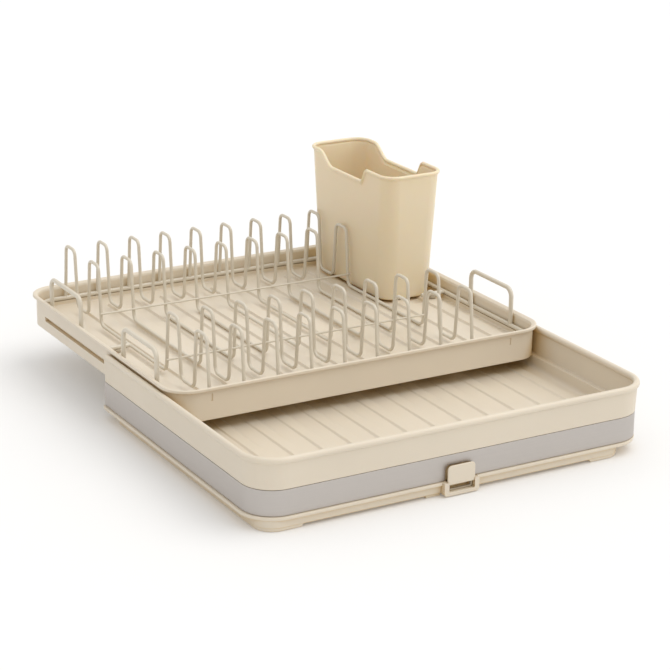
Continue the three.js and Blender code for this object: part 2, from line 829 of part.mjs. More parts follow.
// Low inverted U on a side rail
function handle(side, centreY) {
  const x = side * railX;
  const rear = centreY + handleWidth / 2;
  const front = centreY - handleWidth / 2;
  const corners = [
    new THREE.Vector3(x, rear, railCrown),
    new THREE.Vector3(x, rear, handleHeight),
    new THREE.Vector3(x, front, handleHeight),
    new THREE.Vector3(x, front, railCrown),
  ];
  return bar(bentPath(corners, [0, handleBend, handleBend, 0], bendSteps), railRadius, railSides);
}

// Short bar inward from the middle of a side rail
function strut(side) {
  const y = (upperFront + upperRear) / 2;
  const outer = side * (railX - railRadius - seatGap);
  const inner = outer - side * strutLength;
  return bar([outer, inner].map((x) => new THREE.Vector3(x, y, railHeight)), railRadius, railSides);
}

// Rubber foot under the bar, standing on the tray floor
function strutFoot(side) {
  const bottom = upperRibTop + seatGap;
  const top = railHeight - railRadius - seatGap;
  const geometry = new THREE.CylinderGeometry(strutFootRadius, strutFootRadius, top - bottom, 2 * wireSides);
  geometry.rotateX(Math.PI / 2);
  geometry.translate(
    side * (railX - railRadius - strutLength / 2), (upperFront + upperRear) / 2, (bottom + top) / 2,
  );
  return geometry;
}

const cupBottom = upperRibTop + seatGap;

// Share of the notch's depth along a side, from the front corner to the rear corner of the cup
const notchShares = [[0.2, 0], [0.215, 0.3], [0.235, 0.8], [0.26, 1], [0.5, 1], [0.74, 1], [0.79, 0.85],
  [0.83, 0.5], [0.87, 0.15], [0.92, 0]];

// Plan of the cup at one height, with stations along both long sides where the rim dips
function cupRing(inset, height, dip) {
  const share = (height - cupBottom) / (cupTopZ - cupBottom);
  const halfX = cupFootHalfX + (cupTopHalfX - cupFootHalfX) * share - inset;
  const halfY = cupFootHalfY + (cupTopHalfY - cupFootHalfY) * share - inset;
  const r = cupCornerRadius - inset;
  const front = -halfY + r;
  const rear = halfY - r;
  const station = (side, [along, depth]) => [side * halfX, front + along * (rear - front), depth];
  const flat = (points) => points.map(([x, y]) => [x, y, 0]);
  const points = [
    ...flat(cornerPoints(-halfX + r, front, r, Math.PI, rearCornerSteps + 1)),
    ...flat(cornerPoints(halfX - r, front, r, 1.5 * Math.PI, rearCornerSteps + 1)),
    ...notchShares.map((entry) => station(1, entry)),
    ...flat(cornerPoints(halfX - r, rear, r, 0, rearCornerSteps + 1)),
    ...flat(cornerPoints(-halfX + r, rear, r, 0.5 * Math.PI, rearCornerSteps + 1)),
    ...notchShares.map((entry) => station(-1, entry)).reverse(),
  ];
  return points.map(([x, y, depth]) => new THREE.Vector3(cupX + x, cupY + y, height - dip * depth * cupNotchDepth));
}

// Deep tapered cup with a beaded rim that dips along both long sides, and a drained floor
function cutleryCup() {
  const rimFoot = cupTopZ - 2 * cupBead;
  const innerFloor = cupBottom + cupWall;
  const rings = [cupRing(cupFootChamfer, cupBottom, 0), cupRing(0, cupBottom + cupFootChamfer, 0)];
  rings.push(cupRing(0, rimFoot - cupNotchDepth, 0), cupRing(0, rimFoot, 1));
  for (const [inset, z] of beadProfile(cupTopZ, cupBead)) {
    rings.push(cupRing(inset, z, 1));
  }
  rings.push(cupRing(cupWall, rimFoot - cupNotchDepth, 0));
  rings.push(cupRing(cupWall, innerFloor + cupFootChamfer, 0));
  rings.push(cupRing(cupWall + cupFootChamfer, innerFloor, 0));
  const holes = [];
  for (let row = 0; row < cupHoleRows; row++) {
    for (const side of [-1, 0, 1]) {
      const geometry = new THREE.CylinderGeometry(cupHoleRadius, cupHoleRadius, cupWall + 2 * cutOverrun, 2 * bendSteps + 2);
      geometry.rotateX(Math.PI / 2);
      geometry.translate(
        cupX + side * cupHoleSpread, cupY + (row - (cupHoleRows - 1) / 2) * cupHolePitch, cupBottom + cupWall / 2,
      );
      holes.push(solid(geometry));
    }
  }
  return facets(cut(solid(skin(rings)), ...holes));
}

const drainer = new THREE.Group();
drainer.name = 'dish_drainer';
const groups = {};
for (const name of ['lower', 'upper', 'rack']) {
  groups[name] = new THREE.Group();
  drainer.add(groups[name]);
}

// One named mesh, flat shaded, in its group
function piece(group, name, geometry, finish) {
  const bare = geometry.index ? geometry.toNonIndexed() : geometry;
  bare.deleteAttribute('uv');
  bare.computeVertexNormals();
  const mesh = new THREE.Mesh(bare, new THREE.MeshStandardMaterial(finishes[finish]));
  mesh.name = name;
  groups[group].add(mesh);
}

piece('lower', 'base_pan', basePan(), 'creamShade');
for (const [side, sideName] of [[-1, 'left'], [1, 'right']]) {
  for (const [end, endName] of [[-1, 'front'], [1, 'rear']]) {
    piece('lower', `foot_pad_${endName}_${sideName}`, footPad(side, end), 'rubber');
  }
}
piece('lower', 'lower_tray', lowerTray(), 'cream');
piece('lower', 'steel_band', steelBand(), 'steel');
piece('lower', 'spout_housing', spoutHousing(), 'creamShade');
piece('lower', 'spout_seal', spoutSeal(), 'rubber');
piece('lower', 'spout_gate', spoutGate(), 'cream');
piece('upper', 'upper_tray', upperTray(), 'cream');
piece('upper', 'cutlery_cup', cutleryCup(), 'cup');
piece('rack', 'rack_rail', rackRail(), 'wire');
for (let i = 0; i < waveCount; i++) {
  piece('rack', `wave_wire_${i + 1}`, waveWire(i), 'wire');
}
piece('rack', 'cross_wire_rear', crossWire(humpFeet()[1].slice().reverse()), 'wire');
piece('rack', 'cross_wire_front', crossWire(humpFeet()[2]), 'wire');
const middleY = (upperFront + upperRear) / 2;
for (const [side, sideName] of [[-1, 'left'], [1, 'right']]) {
  piece('rack', `handle_front_${sideName}`, handle(side, middleY - handleCentreShift), 'wire');
  piece('rack', `handle_rear_${sideName}`, handle(side, middleY + handleCentreShift), 'wire');
  piece('rack', `rail_strut_${sideName}`, strut(side), 'wire');
  piece('rack', `strut_foot_${sideName}`, strutFoot(side), 'rubber');
}

drainer.position.set(0, -originY, 0);

export default drainer;
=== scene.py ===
# Expandable dish drainer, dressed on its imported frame: moulded cream trays, a brushed steel band,
# a coated wire rack and a cutlery cup, seen from the front left.
import json
import math

import bmesh
import bpy
from mathutils import Matrix, Vector


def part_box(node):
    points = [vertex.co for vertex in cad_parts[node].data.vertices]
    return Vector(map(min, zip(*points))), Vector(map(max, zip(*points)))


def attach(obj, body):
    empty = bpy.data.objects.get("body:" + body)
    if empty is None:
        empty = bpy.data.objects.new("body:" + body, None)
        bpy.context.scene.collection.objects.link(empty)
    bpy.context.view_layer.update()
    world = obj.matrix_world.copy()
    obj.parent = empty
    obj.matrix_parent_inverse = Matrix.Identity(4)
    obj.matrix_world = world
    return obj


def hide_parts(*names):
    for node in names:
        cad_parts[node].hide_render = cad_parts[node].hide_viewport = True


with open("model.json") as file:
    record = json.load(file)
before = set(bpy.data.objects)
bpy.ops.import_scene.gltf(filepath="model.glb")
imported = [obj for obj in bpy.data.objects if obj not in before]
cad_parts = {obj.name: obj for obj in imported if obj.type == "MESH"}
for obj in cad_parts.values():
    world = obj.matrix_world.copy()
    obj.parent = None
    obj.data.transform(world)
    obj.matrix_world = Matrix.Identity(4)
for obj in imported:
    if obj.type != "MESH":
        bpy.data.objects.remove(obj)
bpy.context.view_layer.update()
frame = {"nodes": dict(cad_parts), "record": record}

MM = 0.001

# Places taken from the frame
band_low, band_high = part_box("steel_band")
tray_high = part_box("lower_tray")[1]
upper_low, upper_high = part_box("upper_tray")
cup_low, cup_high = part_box("cutlery_cup")
gate_low, gate_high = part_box("spout_gate")
housing_low, housing_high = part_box("spout_housing")
seal_low, seal_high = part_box("spout_seal")
pan_low, pan_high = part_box("base_pan")
rail_low, rail_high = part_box("rack_rail")
FRONT = band_low.y
BODY_HALF = band_high.x
BEAD_RADIUS = 2.7 * MM
LOWER_REAR = tray_high.y - BEAD_RADIUS
SEAT_GAP = 0.3 * MM
OVERRUN = 1 * MM

# Facets of the visual pieces, with angles in degrees
CORNER_STEPS = 20
FILLET_STEPS = 5
BEAD_STEPS = 16
BEAD_START = -70
BEAD_TURN = 320
PANEL_STEPS = 8
BEND_STEPS = 8
RAIL_CORNER_STEPS = 12
WIRE_BEVEL = 3
RIB_CORNER_STEPS = 4
REAR_ROUND_STEPS = 16
PAD_STEPS = 12
FOOT_STEPS = 24
GATE_STEPS = 10
EDGE_STEPS = 3
GATE_EDGE_STEPS = 5
CUP_CORNER_STEPS = 10
CUP_SIDE_STEPS = 48
CUP_HOLE_STEPS = 20
SHARP_ANGLE = 38
EDGE_ANGLE = 30
STRAIGHT_ANGLE = 4
FILLET_SHARE = 0.45

# Heights of the lower tray
BAND_BOTTOM = band_low.z
BAND_TOP = band_high.z + SEAT_GAP
BEAD_CENTRE = tray_high.z - BEAD_RADIUS
LEDGE_TOP = 35.1 * MM
LOWER_RIB_TOP = 25.6 * MM
FLOOR_THICKNESS = 2.2 * MM
SAME_HEIGHT = 0.01 * MM
REAR_WALL_TOP = 34.8 * MM
REAR_ROUND = 11 * MM

# Lower tray walls, drawn in from the face of the band
CORNER_RADIUS = 26 * MM
REAR_RADIUS = 4 * MM
LOWER_WALL = 2.9 * MM
BAND_RECESS = 1.35 * MM
SKIRT_WALL = 2.55 * MM
LEDGE_INSET = 7.8 * MM
WELL_INSET = 8.4 * MM
WELL_FILLET = 5.6 * MM
STEP_RADIUS = 0.5 * MM
BAND_THICKNESS = 1 * MM
BAND_EDGE = 0.3 * MM
BAND_SEAM = 1 * MM
BAND_END = band_high.y

# Flat ribs of both floors; the lower floor falls to the front below its ribs
RIB_COUNT = 13
RIB_PITCH = 25.4 * MM
RIB_CORNER = 1.6 * MM
RIB_SLOPE = 2 * MM
RIB_STEPS = 6
LOWER_RIB_WIDTH = 10.6 * MM
LOWER_RIB_FRONT = 48 * MM
LOWER_RIB_REAR = 176 * MM
LOWER_RIB_SHOW = 2.2 * MM
LOWER_RIB_FADE = 180 * MM
UPPER_RIB_WIDTH = 13 * MM
UPPER_RIB_HEIGHT = 2 * MM
UPPER_RIB_FRONT_INSET = 22.5 * MM
UPPER_RIB_REAR_INSET = 23.5 * MM
DRAIN_Y = 36 * MM
DRAIN_HALF_LENGTH = 9 * MM
DRAIN_HALF_WIDTH = 7 * MM
DRAIN_CORNER = 2 * MM

# Base pan
PAN_BOTTOM = 2.2 * MM
PAN_TOP = pan_high.z
PAN_FLANGE = BODY_HALF + pan_low.x
LIP_SIDE_INSET = 0.95 * MM
LIP_SHIFT = -0.95 * MM
PAN_WALL = 4.2 * MM
PAN_FLOOR = 1.8 * MM
PAN_LIP = 2.6 * MM
PAN_CURVE = 4 * MM
PAN_EDGE = 0.6 * MM
BOWL_SHIFT = -8.5 * MM
BOWL_SIDE_INSET = 13 * MM
BOWL_FRONT = 0.3 * MM
BOWL_REAR_INSET = 12.5 * MM
BOWL_CORNER = 16 * MM
BOWL_REAR_CORNER = 8 * MM
BOWL_EDGE = 1.6 * MM
RUNNER_INSET = 0.4 * MM
RUNNER_WIDTH = 31.5 * MM
RUNNER_BOTTOM = 0.3 * MM
RUNNER_SLOPE = 4 * MM
RUNNER_EDGE = 0.6 * MM
SOCKET_TOP = PAN_BOTTOM - 0.5 * MM
PAD_EDGE = 0.4 * MM
FOOT_BLOCK_SHIFT = -7.9 * MM
FOOT_BLOCK_HALF = 20.5 * MM
FOOT_BLOCK_FRONT = 1.6 * MM
FOOT_BLOCK_DEPTH = 14 * MM
PADS = [f"foot_pad_{end}_{side}" for side in ("left", "right") for end in ("front", "rear")]

# Spout
SPOUT_X = (housing_low.x + housing_high.x) / 2
CUTOUT_HALF = 12.5 * MM
CUTOUT_TOP = 24.4 * MM
CUTOUT_RADIUS = 4 * MM
FACE_SETBACK = 2.4 * MM
FACE_THICKNESS = 2.2 * MM
BRACKET_HALF = 15.6 * MM
BRACKET_RADIUS = 2.4 * MM
MOUTH_HALF = 11.6 * MM
MOUTH_BOTTOM = 4 * MM
MOUTH_CORNER = 0.6 * MM
SEAL_CORNER = 0.8 * MM
DUCT_HALF = 9.4 * MM
DUCT_WALL = 1.2 * MM
DUCT_FRONT = 0.2 * MM
GATE_EDGE = 1.1 * MM
GATE_RADIUS = 3.4 * MM
GATE_FOOT_RADIUS = 1.2 * MM
EDGE_ROUND = 0.45 * MM

# Upper tray
UPPER_RADIUS = 20.3 * MM
RIM_OVERHANG = 3 * MM
UPPER_HALF = upper_high.x - RIM_OVERHANG
UPPER_GAP = BODY_HALF - UPPER_HALF
UPPER_FRONT = upper_low.y + RIM_OVERHANG
UPPER_REAR = upper_high.y - RIM_OVERHANG
UPPER_BOTTOM = upper_low.z
RIM_TOP = upper_high.z
RIM_LOW = 60.5 * MM
RIM_LIP = 1.2 * MM
RIM_ROUND = 0.8 * MM
RIM_EDGE = 0.5 * MM
UPPER_RIB_TOP = 47.5 * MM
UPPER_FLOOR = UPPER_RIB_TOP - UPPER_RIB_HEIGHT
UPPER_WALL = 2 * MM
UPPER_FILLET = 2 * MM
GUIDE_Z = 46.4 * MM
GUIDE_HEIGHT = 4 * MM
GUIDE_DEPTH = 3.6 * MM
SHELF_FILLET = 1.4 * MM
SHELF_INSET = 5.8 * MM
LUG_LENGTH = 7 * MM
LUG_HEIGHT = 3.4 * MM
LUG_REACH = UPPER_GAP + GUIDE_DEPTH - LOWER_WALL - SEAT_GAP
LUG_REAR_SETBACK = 8 * MM
MARK_X = 140 * MM
MARK_WIDTH = 1.6 * MM
MARK_HEIGHT = 6 * MM
MARK_DEPTH = 0.6 * MM
MARK_DROP = 3.4 * MM
UPPER_DRAINS = 5
UPPER_DRAIN_PITCH = 52 * MM
UPPER_DRAIN_LENGTH = 16 * MM
UPPER_DRAIN_WIDTH = 3 * MM
UPPER_DRAIN_INSET = 12 * MM

# Wire rack
RAIL_RADIUS = (rail_high.z - rail_low.z) / 2
RAIL_Z = (rail_high.z + rail_low.z) / 2
RAIL_X = rail_high.x - RAIL_RADIUS
RAIL_FRONT = rail_low.y + RAIL_RADIUS
RAIL_REAR = rail_high.y - RAIL_RADIUS
SHELF_TOP = rail_low.z - SEAT_GAP
RAIL_CORNER = UPPER_RADIUS - (UPPER_HALF - RAIL_X)
WIRE_RADIUS = 1.45 * MM
CROSS_WIRE_RADIUS = 0.85 * MM
WAVE_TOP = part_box("wave_wire_1")[1].z - WIRE_RADIUS
WAVE_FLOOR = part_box("wave_wire_1")[0].z + WIRE_RADIUS
HUMP_FOOT = 27 * MM
HUMP_TOP = 18.4 * MM
HUMP_BEND = 5.6 * MM
HUMP_GAP = 23.4 * MM
WAVE_FOOT_BEND = 6.5 * MM
VALLEY_HEIGHT = 51.4 * MM
HANDLE_BEND = 7.5 * MM
WELD = 0.6 * MM
STRUT_FOOT_EDGE = 0.6 * MM

# Cutlery cup
CUP_BEAD = 1.7 * MM
CUP_WALL = 1.8 * MM
CUP_X = (cup_low.x + cup_high.x) / 2
CUP_Y = (cup_low.y + cup_high.y) / 2
CUP_TOP_HALF_X = (cup_high.x - cup_low.x) / 2 - CUP_BEAD
CUP_TOP_HALF_Y = (cup_high.y - cup_low.y) / 2 - CUP_BEAD
CUP_FLARE_X = 3.7 * MM
CUP_FLARE_Y = 7.1 * MM
CUP_CORNER = 14 * MM
CUP_NOTCH = 12 * MM
NOTCH_SHARES = (0.19, 0.27, 0.73, 0.93)
CUP_CHAMFER = 2.4 * MM
CUP_BOTTOM = cup_low.z
CUP_TOP = cup_high.z - CUP_BEAD
CUP_SUPPORT = 8 * MM
CUP_HOLE_ROWS = 4
CUP_HOLE_PITCH = 26 * MM
CUP_HOLE_RADIUS = 3 * MM
CUP_HOLE_SPREAD = 13 * MM

# Camera, as the photograph was taken
CAMERA_YAW = -30.07
CAMERA_PITCH = 19.17
CAMERA_ROLL = 0.72
CAMERA_DISTANCE = 1864.1 * MM
CAMERA_LENS = 117.3
CAMERA_SENSOR = 36
CAMERA_REACH = 50
TARGET = Vector((28.3 * MM, FRONT + 244.3 * MM, 47 * MM))

# Surfaces
NOISE_MIDDLE = (0.3, 0.7)
# Painted shade in hollows: how far to look for close surroundings, the openness below which the colour turns
# browner, and the browner, darker tint it turns to
PAINTED_SHADE_REACH = 60 * MM
PAINTED_SHADE_LIMIT = 0.5
PAINTED_SHADE_TINT = (0.92, 0.74, 0.4)

# Light
BRIGHT_SIDE = (0.5, 0, 0.9)
WORLD_DIM = 0.5
WORLD_BRIGHT = 1.08
KEY_FROM = (0.55, -0.25, 1)
KEY_STRENGTH = 0.95
KEY_SOFTNESS = 50
KEY_TONE = (1, 0.985, 0.96)
WORLD_TONE = (1, 0.99, 0.975)
FLOOR_GLOW = 0.12
FLOOR_TONE = 0.75
FLOOR_HALF = 6

# Plans of the mouldings, as rounded rectangles
LOWER_PLAN = dict(half=BODY_HALF, front=FRONT, rear=LOWER_REAR, front_r=CORNER_RADIUS, rear_r=REAR_RADIUS)
UPPER_PLAN = dict(
    half=UPPER_HALF, front=UPPER_FRONT, rear=UPPER_REAR, front_r=UPPER_RADIUS, rear_r=UPPER_RADIUS)
LIP_PLAN = dict(LOWER_PLAN, half=BODY_HALF - LIP_SIDE_INSET, centre=LIP_SHIFT)
BOWL_PLAN = dict(
    half=BODY_HALF - BOWL_SIDE_INSET, front=FRONT + BOWL_FRONT, rear=LOWER_REAR - BOWL_REAR_INSET,
    front_r=BOWL_CORNER, rear_r=BOWL_REAR_CORNER, centre=BOWL_SHIFT)
SMALLEST_RADIUS = 0.4 * MM


# Outlines and profiles
def arc(cx, cy, radius, start, turn, steps):
    """Points of an arc, both ends included; angles in degrees."""
    angles = [math.radians(start + turn * i / steps) for i in range(steps + 1)]
    return [(cx + radius * math.cos(a), cy + radius * math.sin(a)) for a in angles]


def outline(plan, inset, steps=CORNER_STEPS):
    """Rounded rectangle drawn in by an inset, anticlockwise from the front left corner."""
    half = plan["half"] - inset
    front, rear = plan["front"] + inset, plan["rear"] - inset
    fr = max(plan["front_r"] - inset, SMALLEST_RADIUS)
    rr = max(plan["rear_r"] - inset, SMALLEST_RADIUS)
    points = arc(-half + fr, front + fr, fr, 180, 90, steps)
    points += arc(half - fr, front + fr, fr, 270, 90, steps)
    points += arc(half - rr, rear - rr, rr, 0, 90, steps)
    points += arc(-half + rr, rear - rr, rr, 90, 90, steps)
    return [(plan.get("centre", 0) + x, y) for x, y in points]


def rounded(profile, radius):
    """Profile with each inner corner rounded off to the radius, or to the corner's own third value."""
    points = [Vector(profile[0][:2])]
    for before, here, after in zip(profile, profile[1:], profile[2:]):
        r = here[2] if len(here) > 2 else radius
        a, b, c = Vector(before[:2]), Vector(here[:2]), Vector(after[:2])
        into, out = (b - a).normalized(), (c - b).normalized()
        turn = into.angle(out)
        if r == 0 or turn < math.radians(STRAIGHT_ANGLE):
            points.append(b)
            continue
        reach = min(r * math.tan(turn / 2), FILLET_SHARE * (b - a).length, FILLET_SHARE * (c - b).length)
        for i in range(FILLET_STEPS + 1):
            t = i / FILLET_STEPS
            p = (b - into * reach) * (1 - t) ** 2 + b * 2 * t * (1 - t) + (b + out * reach) * t ** 2
            points.append(p)
    points.append(Vector(profile[-1][:2]))
    return [(p.x, p.y) for p in points]


def bead(centre, radius):
    """Profile points round a bead, from under its outer side over the top to under its inner side."""
    return [(-radius * math.cos(math.radians(a)), centre + radius * math.sin(math.radians(a)), 0)
            for a in [BEAD_START + BEAD_TURN * i / BEAD_STEPS for i in range(BEAD_STEPS + 1)]]


def smooth(t):
    """Soft step from 0 to 1."""
    t = min(max(t, 0), 1)
    return t * t * (3 - 2 * t)


# Mesh making
def new_object(name, mesh, body, slot):
    obj = bpy.data.objects.new(name, mesh)
    bpy.context.scene.collection.objects.link(obj)
    mesh.materials.append(MATERIALS[slot])
    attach(obj, body)
    return obj


def soften(mesh):
    """Smooth shading, with edges sharper than SHARP_ANGLE kept sharp."""
    bm = bmesh.new()
    bm.from_mesh(mesh)
    bmesh.ops.recalc_face_normals(bm, faces=bm.faces)
    for face in bm.faces:
        face.smooth = True
    for edge in bm.edges:
        edge.smooth = not (edge.is_manifold and edge.calc_face_angle(0) > math.radians(SHARP_ANGLE))
    bm.to_mesh(mesh)
    bm.free()


def loft(rings):
    """Closed mesh through equal rings of points, capped at both ends."""
    size = len(rings[0])
    verts = [p for ring in rings for p in ring]
    faces = []
    for r in range(len(rings) - 1):
        low, high = r * size, (r + 1) * size
        faces += [(low + i, low + (i + 1) % size, high + (i + 1) % size, high + i) for i in range(size)]
    faces.append(tuple(range(size))[::-1])
    faces.append(tuple(range((len(rings) - 1) * size, len(rings) * size)))
    mesh = bpy.data.meshes.new("loft")
    mesh.from_pydata(verts, [], faces)
    mesh.validate()
    soften(mesh)
    return mesh


def mould_rings(plan, profile, fall=lambda inset, y, z: 0):
    """Rings from a profile of insets and heights round a plan, shifted in height where a floor falls."""
    return [[(x, y, z + fall(inset, y, z)) for x, y in outline(plan, inset)] for inset, z in profile]


def moulding(plan, profile, **options):
    return loft(mould_rings(plan, profile, **options))


def prism(points, to_space, depth):
    """Prism of a flat outline, placed by a function from (u, v, w) to a point."""
    return loft([[to_space(u, v, w) for u, v in points] for w in (0, depth)])


def block_mesh(low, high):
    (x0, y0, z0), (x1, y1, z1) = low, high
    return prism([(x0, y0), (x1, y0), (x1, y1), (x0, y1)], lambda u, v, w: (u, v, z0 + w), z1 - z0)


def panel(half, low, high, upper_r, lower_r, steps=PANEL_STEPS):
    """Rectangle about x = 0 with two corner radii, in x and z."""
    lower_r = max(lower_r, SMALLEST_RADIUS)
    points = arc(-half + lower_r, low + lower_r, lower_r, 180, 90, steps)
    points += arc(half - lower_r, low + lower_r, lower_r, 270, 90, steps)
    points += arc(half - upper_r, high - upper_r, upper_r, 0, 90, steps)
    points += arc(-half + upper_r, high - upper_r, upper_r, 90, 90, steps)
    return points


def face_panel(points, centre_x, y0, y1):
    """Prism of an x and z outline between two y planes."""
    return prism(points, lambda u, v, w: (centre_x + u, y0 + w, v), y1 - y0)


def combine(mesh, tools, operation="DIFFERENCE"):
    """Mesh with each tool mesh cut from it, joined to it or intersected with it."""
    obj = bpy.data.objects.new("working", mesh)
    bpy.context.scene.collection.objects.link(obj)
    for tool in tools:
        cutter = bpy.data.objects.new("tool", tool)
        bpy.context.scene.collection.objects.link(cutter)
        modifier = obj.modifiers.new("combine", "BOOLEAN")
        modifier.operation = operation
        modifier.solver = "EXACT"
        modifier.object = cutter
        graph = bpy.context.evaluated_depsgraph_get()
        result = bpy.data.meshes.new_from_object(obj.evaluated_get(graph))
        obj.modifiers.clear()
        obj.data = result
        bpy.data.objects.remove(cutter)
    mesh = obj.data
    bpy.data.objects.remove(obj)
    soften(mesh)
    return mesh


def shells_of(meshes):
    """One mesh that holds several shells, not joined where they touch."""
    bm = bmesh.new()
    for mesh in meshes:
        bm.from_mesh(mesh)
    result = bpy.data.meshes.new("shells")
    bm.to_mesh(result)
    bm.free()
    return result


def flat_faces_flat(obj):
    """Normals weighted by area, so that a wide flat face stays flat beside a small curved one."""
    modifier = obj.modifiers.new("normals", "WEIGHTED_NORMAL")
    modifier.keep_sharp = True
    return obj


def edge_round(obj, width, segments=EDGE_STEPS):
    """Rounded edges on a crisp piece."""
    modifier = obj.modifiers.new("edges", "BEVEL")
    modifier.width = width
    modifier.segments = segments
    modifier.limit_method = "ANGLE"
    modifier.angle_limit = math.radians(EDGE_ANGLE)
    modifier.harden_normals = True
    return obj


def floor_ribs(width, front, rear, top, floor_at):
    """Flat ribs along y whose sides rise in a soft curve out of a floor whose height is given at y."""
    plan = dict(half=width / 2, front=front, rear=rear, front_r=RIB_CORNER, rear_r=RIB_CORNER)
    foot = outline(plan, -RIB_SLOPE / 2, RIB_CORNER_STEPS)
    ribs = []
    for i in range(RIB_COUNT):
        centre = (i - (RIB_COUNT - 1) / 2) * RIB_PITCH
        rings = [[(centre + x, y, floor_at(y) - SEAT_GAP) for x, y in foot]]
        for k in range(RIB_STEPS + 1):
            t = k / RIB_STEPS
            ring = outline(plan, RIB_SLOPE * (t - 0.5), RIB_CORNER_STEPS)
            rings.append([(centre + x, y, floor_at(y) + (top - floor_at(y)) * smooth(t)) for x, y in ring])
        ribs.append(loft(rings))
    return ribs


# Materials
def node_material(name):
    material = bpy.data.materials.new(name)
    material.use_nodes = True
    nodes = material.node_tree.nodes
    return material, nodes, material.node_tree.links, nodes["Principled BSDF"]


def shade(colour, factor):
    return [min(c * factor, 1) for c in colour]


def noise(nodes, links, scale, detail, stretch=(1, 1, 1)):
    """Noise in object space, in features per metre along each axis."""
    place = nodes.new("ShaderNodeTexCoord")
    mapping = nodes.new("ShaderNodeMapping")
    mapping.inputs["Scale"].default_value = stretch
    texture = nodes.new("ShaderNodeTexNoise")
    texture.inputs["Scale"].default_value = scale
    texture.inputs["Detail"].default_value = detail
    links.new(place.outputs["Object"], mapping.inputs["Vector"])
    links.new(mapping.outputs["Vector"], texture.inputs["Vector"])
    return texture


def spread(nodes, links, source, low, high):
    """Maps the middle of a noise onto a range."""
    ranged = nodes.new("ShaderNodeMapRange")
    ranged.inputs["From Min"].default_value, ranged.inputs["From Max"].default_value = NOISE_MIDDLE
    ranged.inputs["To Min"].default_value = low
    ranged.inputs["To Max"].default_value = high
    links.new(source.outputs["Fac"], ranged.inputs["Value"])
    return ranged


def tinted(nodes, links, source, dark, light):
    mix = nodes.new("ShaderNodeMix")
    mix.data_type = "RGBA"
    mix.inputs["A"].default_value = (*dark, 1)
    mix.inputs["B"].default_value = (*light, 1)
    ranged = spread(nodes, links, source, 0, 1)
    links.new(ranged.outputs["Result"], mix.inputs["Factor"])
    return mix


def bumped(nodes, links, source, strength, distance):
    bump = nodes.new("ShaderNodeBump")
    bump.inputs["Strength"].default_value = strength
    bump.inputs["Distance"].default_value = distance
    links.new(source.outputs["Fac"], bump.inputs["Height"])
    return bump


def painted_hollow_shade(nodes, links, surface, colour, limit):
    """Painted shade: turns the colour browner and darker where little light gets in, between close walls."""
    open_air = nodes.new("ShaderNodeAmbientOcclusion")
    open_air.inputs["Distance"].default_value = PAINTED_SHADE_REACH
    ranged = nodes.new("ShaderNodeMapRange")
    ranged.inputs["From Max"].default_value = limit
    links.new(open_air.outputs["AO"], ranged.inputs["Value"])
    mix = nodes.new("ShaderNodeMix")
    mix.data_type = "RGBA"
    mix.inputs["A"].default_value = (*[c * t for c, t in zip(colour, PAINTED_SHADE_TINT)], 1)
    links.new(surface.outputs["Result"], mix.inputs["B"])
    links.new(ranged.outputs["Result"], mix.inputs["Factor"])
    return mix


def moulded_plastic(name, colour, glow=0.06, depth=1.5 * MM, limit=PAINTED_SHADE_LIMIT):
    """Satin moulded plastic: faint cloudiness, fine mould grain, uneven gloss, light that soaks in, and
    painted shade that turns the colour browner and darker in its hollows.
    """
    material, nodes, links, shader = node_material(name)
    cloud = noise(nodes, links, scale=14, detail=3)
    surface = tinted(nodes, links, cloud, shade(colour, 0.975), shade(colour, 1.015))
    # Base colour with painted shade, browner and darker where little light gets in
    hollow_shaded = painted_hollow_shade(nodes, links, surface, colour, limit)
    links.new(hollow_shaded.outputs["Result"], shader.inputs["Base Color"])
    sheen = noise(nodes, links, scale=45, detail=4)
    links.new(spread(nodes, links, sheen, 0.36, 0.46).outputs["Result"], shader.inputs["Roughness"])
    grain = noise(nodes, links, scale=1600, detail=2)
    grained = bumped(nodes, links, grain, strength=0.06, distance=0.05 * MM)
    links.new(grained.outputs["Normal"], shader.inputs["Normal"])
    shader.inputs["IOR"].default_value = 1.5
    shader.inputs["Subsurface Weight"].default_value = glow
    shader.inputs["Subsurface Radius"].default_value = (1.0, 0.7, 0.4)
    shader.inputs["Subsurface Scale"].default_value = depth
    return material


def brushed_steel(name, colour):
    """Stainless steel brushed along the band, with fine streaks in gloss and tone."""
    material, nodes, links, shader = node_material(name)
    streaks = noise(nodes, links, scale=30, detail=5, stretch=(0.35, 0.35, 60))
    surface = tinted(nodes, links, streaks, shade(colour, 0.93), colour)
    links.new(surface.outputs["Result"], shader.inputs["Base Color"])
    links.new(spread(nodes, links, streaks, 0.46, 0.57).outputs["Result"], shader.inputs["Roughness"])
    fine = noise(nodes, links, scale=90, detail=3, stretch=(0.3, 0.3, 60))
    brushed = bumped(nodes, links, fine, strength=0.12, distance=0.03 * MM)
    links.new(brushed.outputs["Normal"], shader.inputs["Normal"])
    shader.inputs["Metallic"].default_value = 1
    return material


def coated_wire(name, colour):
    """Steel wire under a smooth cream coating with a slight orange peel."""
    material, nodes, links, shader = node_material(name)
    cloud = noise(nodes, links, scale=60, detail=3)
    surface = tinted(nodes, links, cloud, shade(colour, 0.95), colour)
    links.new(surface.outputs["Result"], shader.inputs["Base Color"])
    links.new(spread(nodes, links, cloud, 0.28, 0.38).outputs["Result"], shader.inputs["Roughness"])
    peel = noise(nodes, links, scale=700, detail=2)
    peeled = bumped(nodes, links, peel, strength=0.1, distance=0.05 * MM)
    links.new(peeled.outputs["Normal"], shader.inputs["Normal"])
    shader.inputs["Coat Weight"].default_value = 0.25
    shader.inputs["Coat Roughness"].default_value = 0.2
    return material


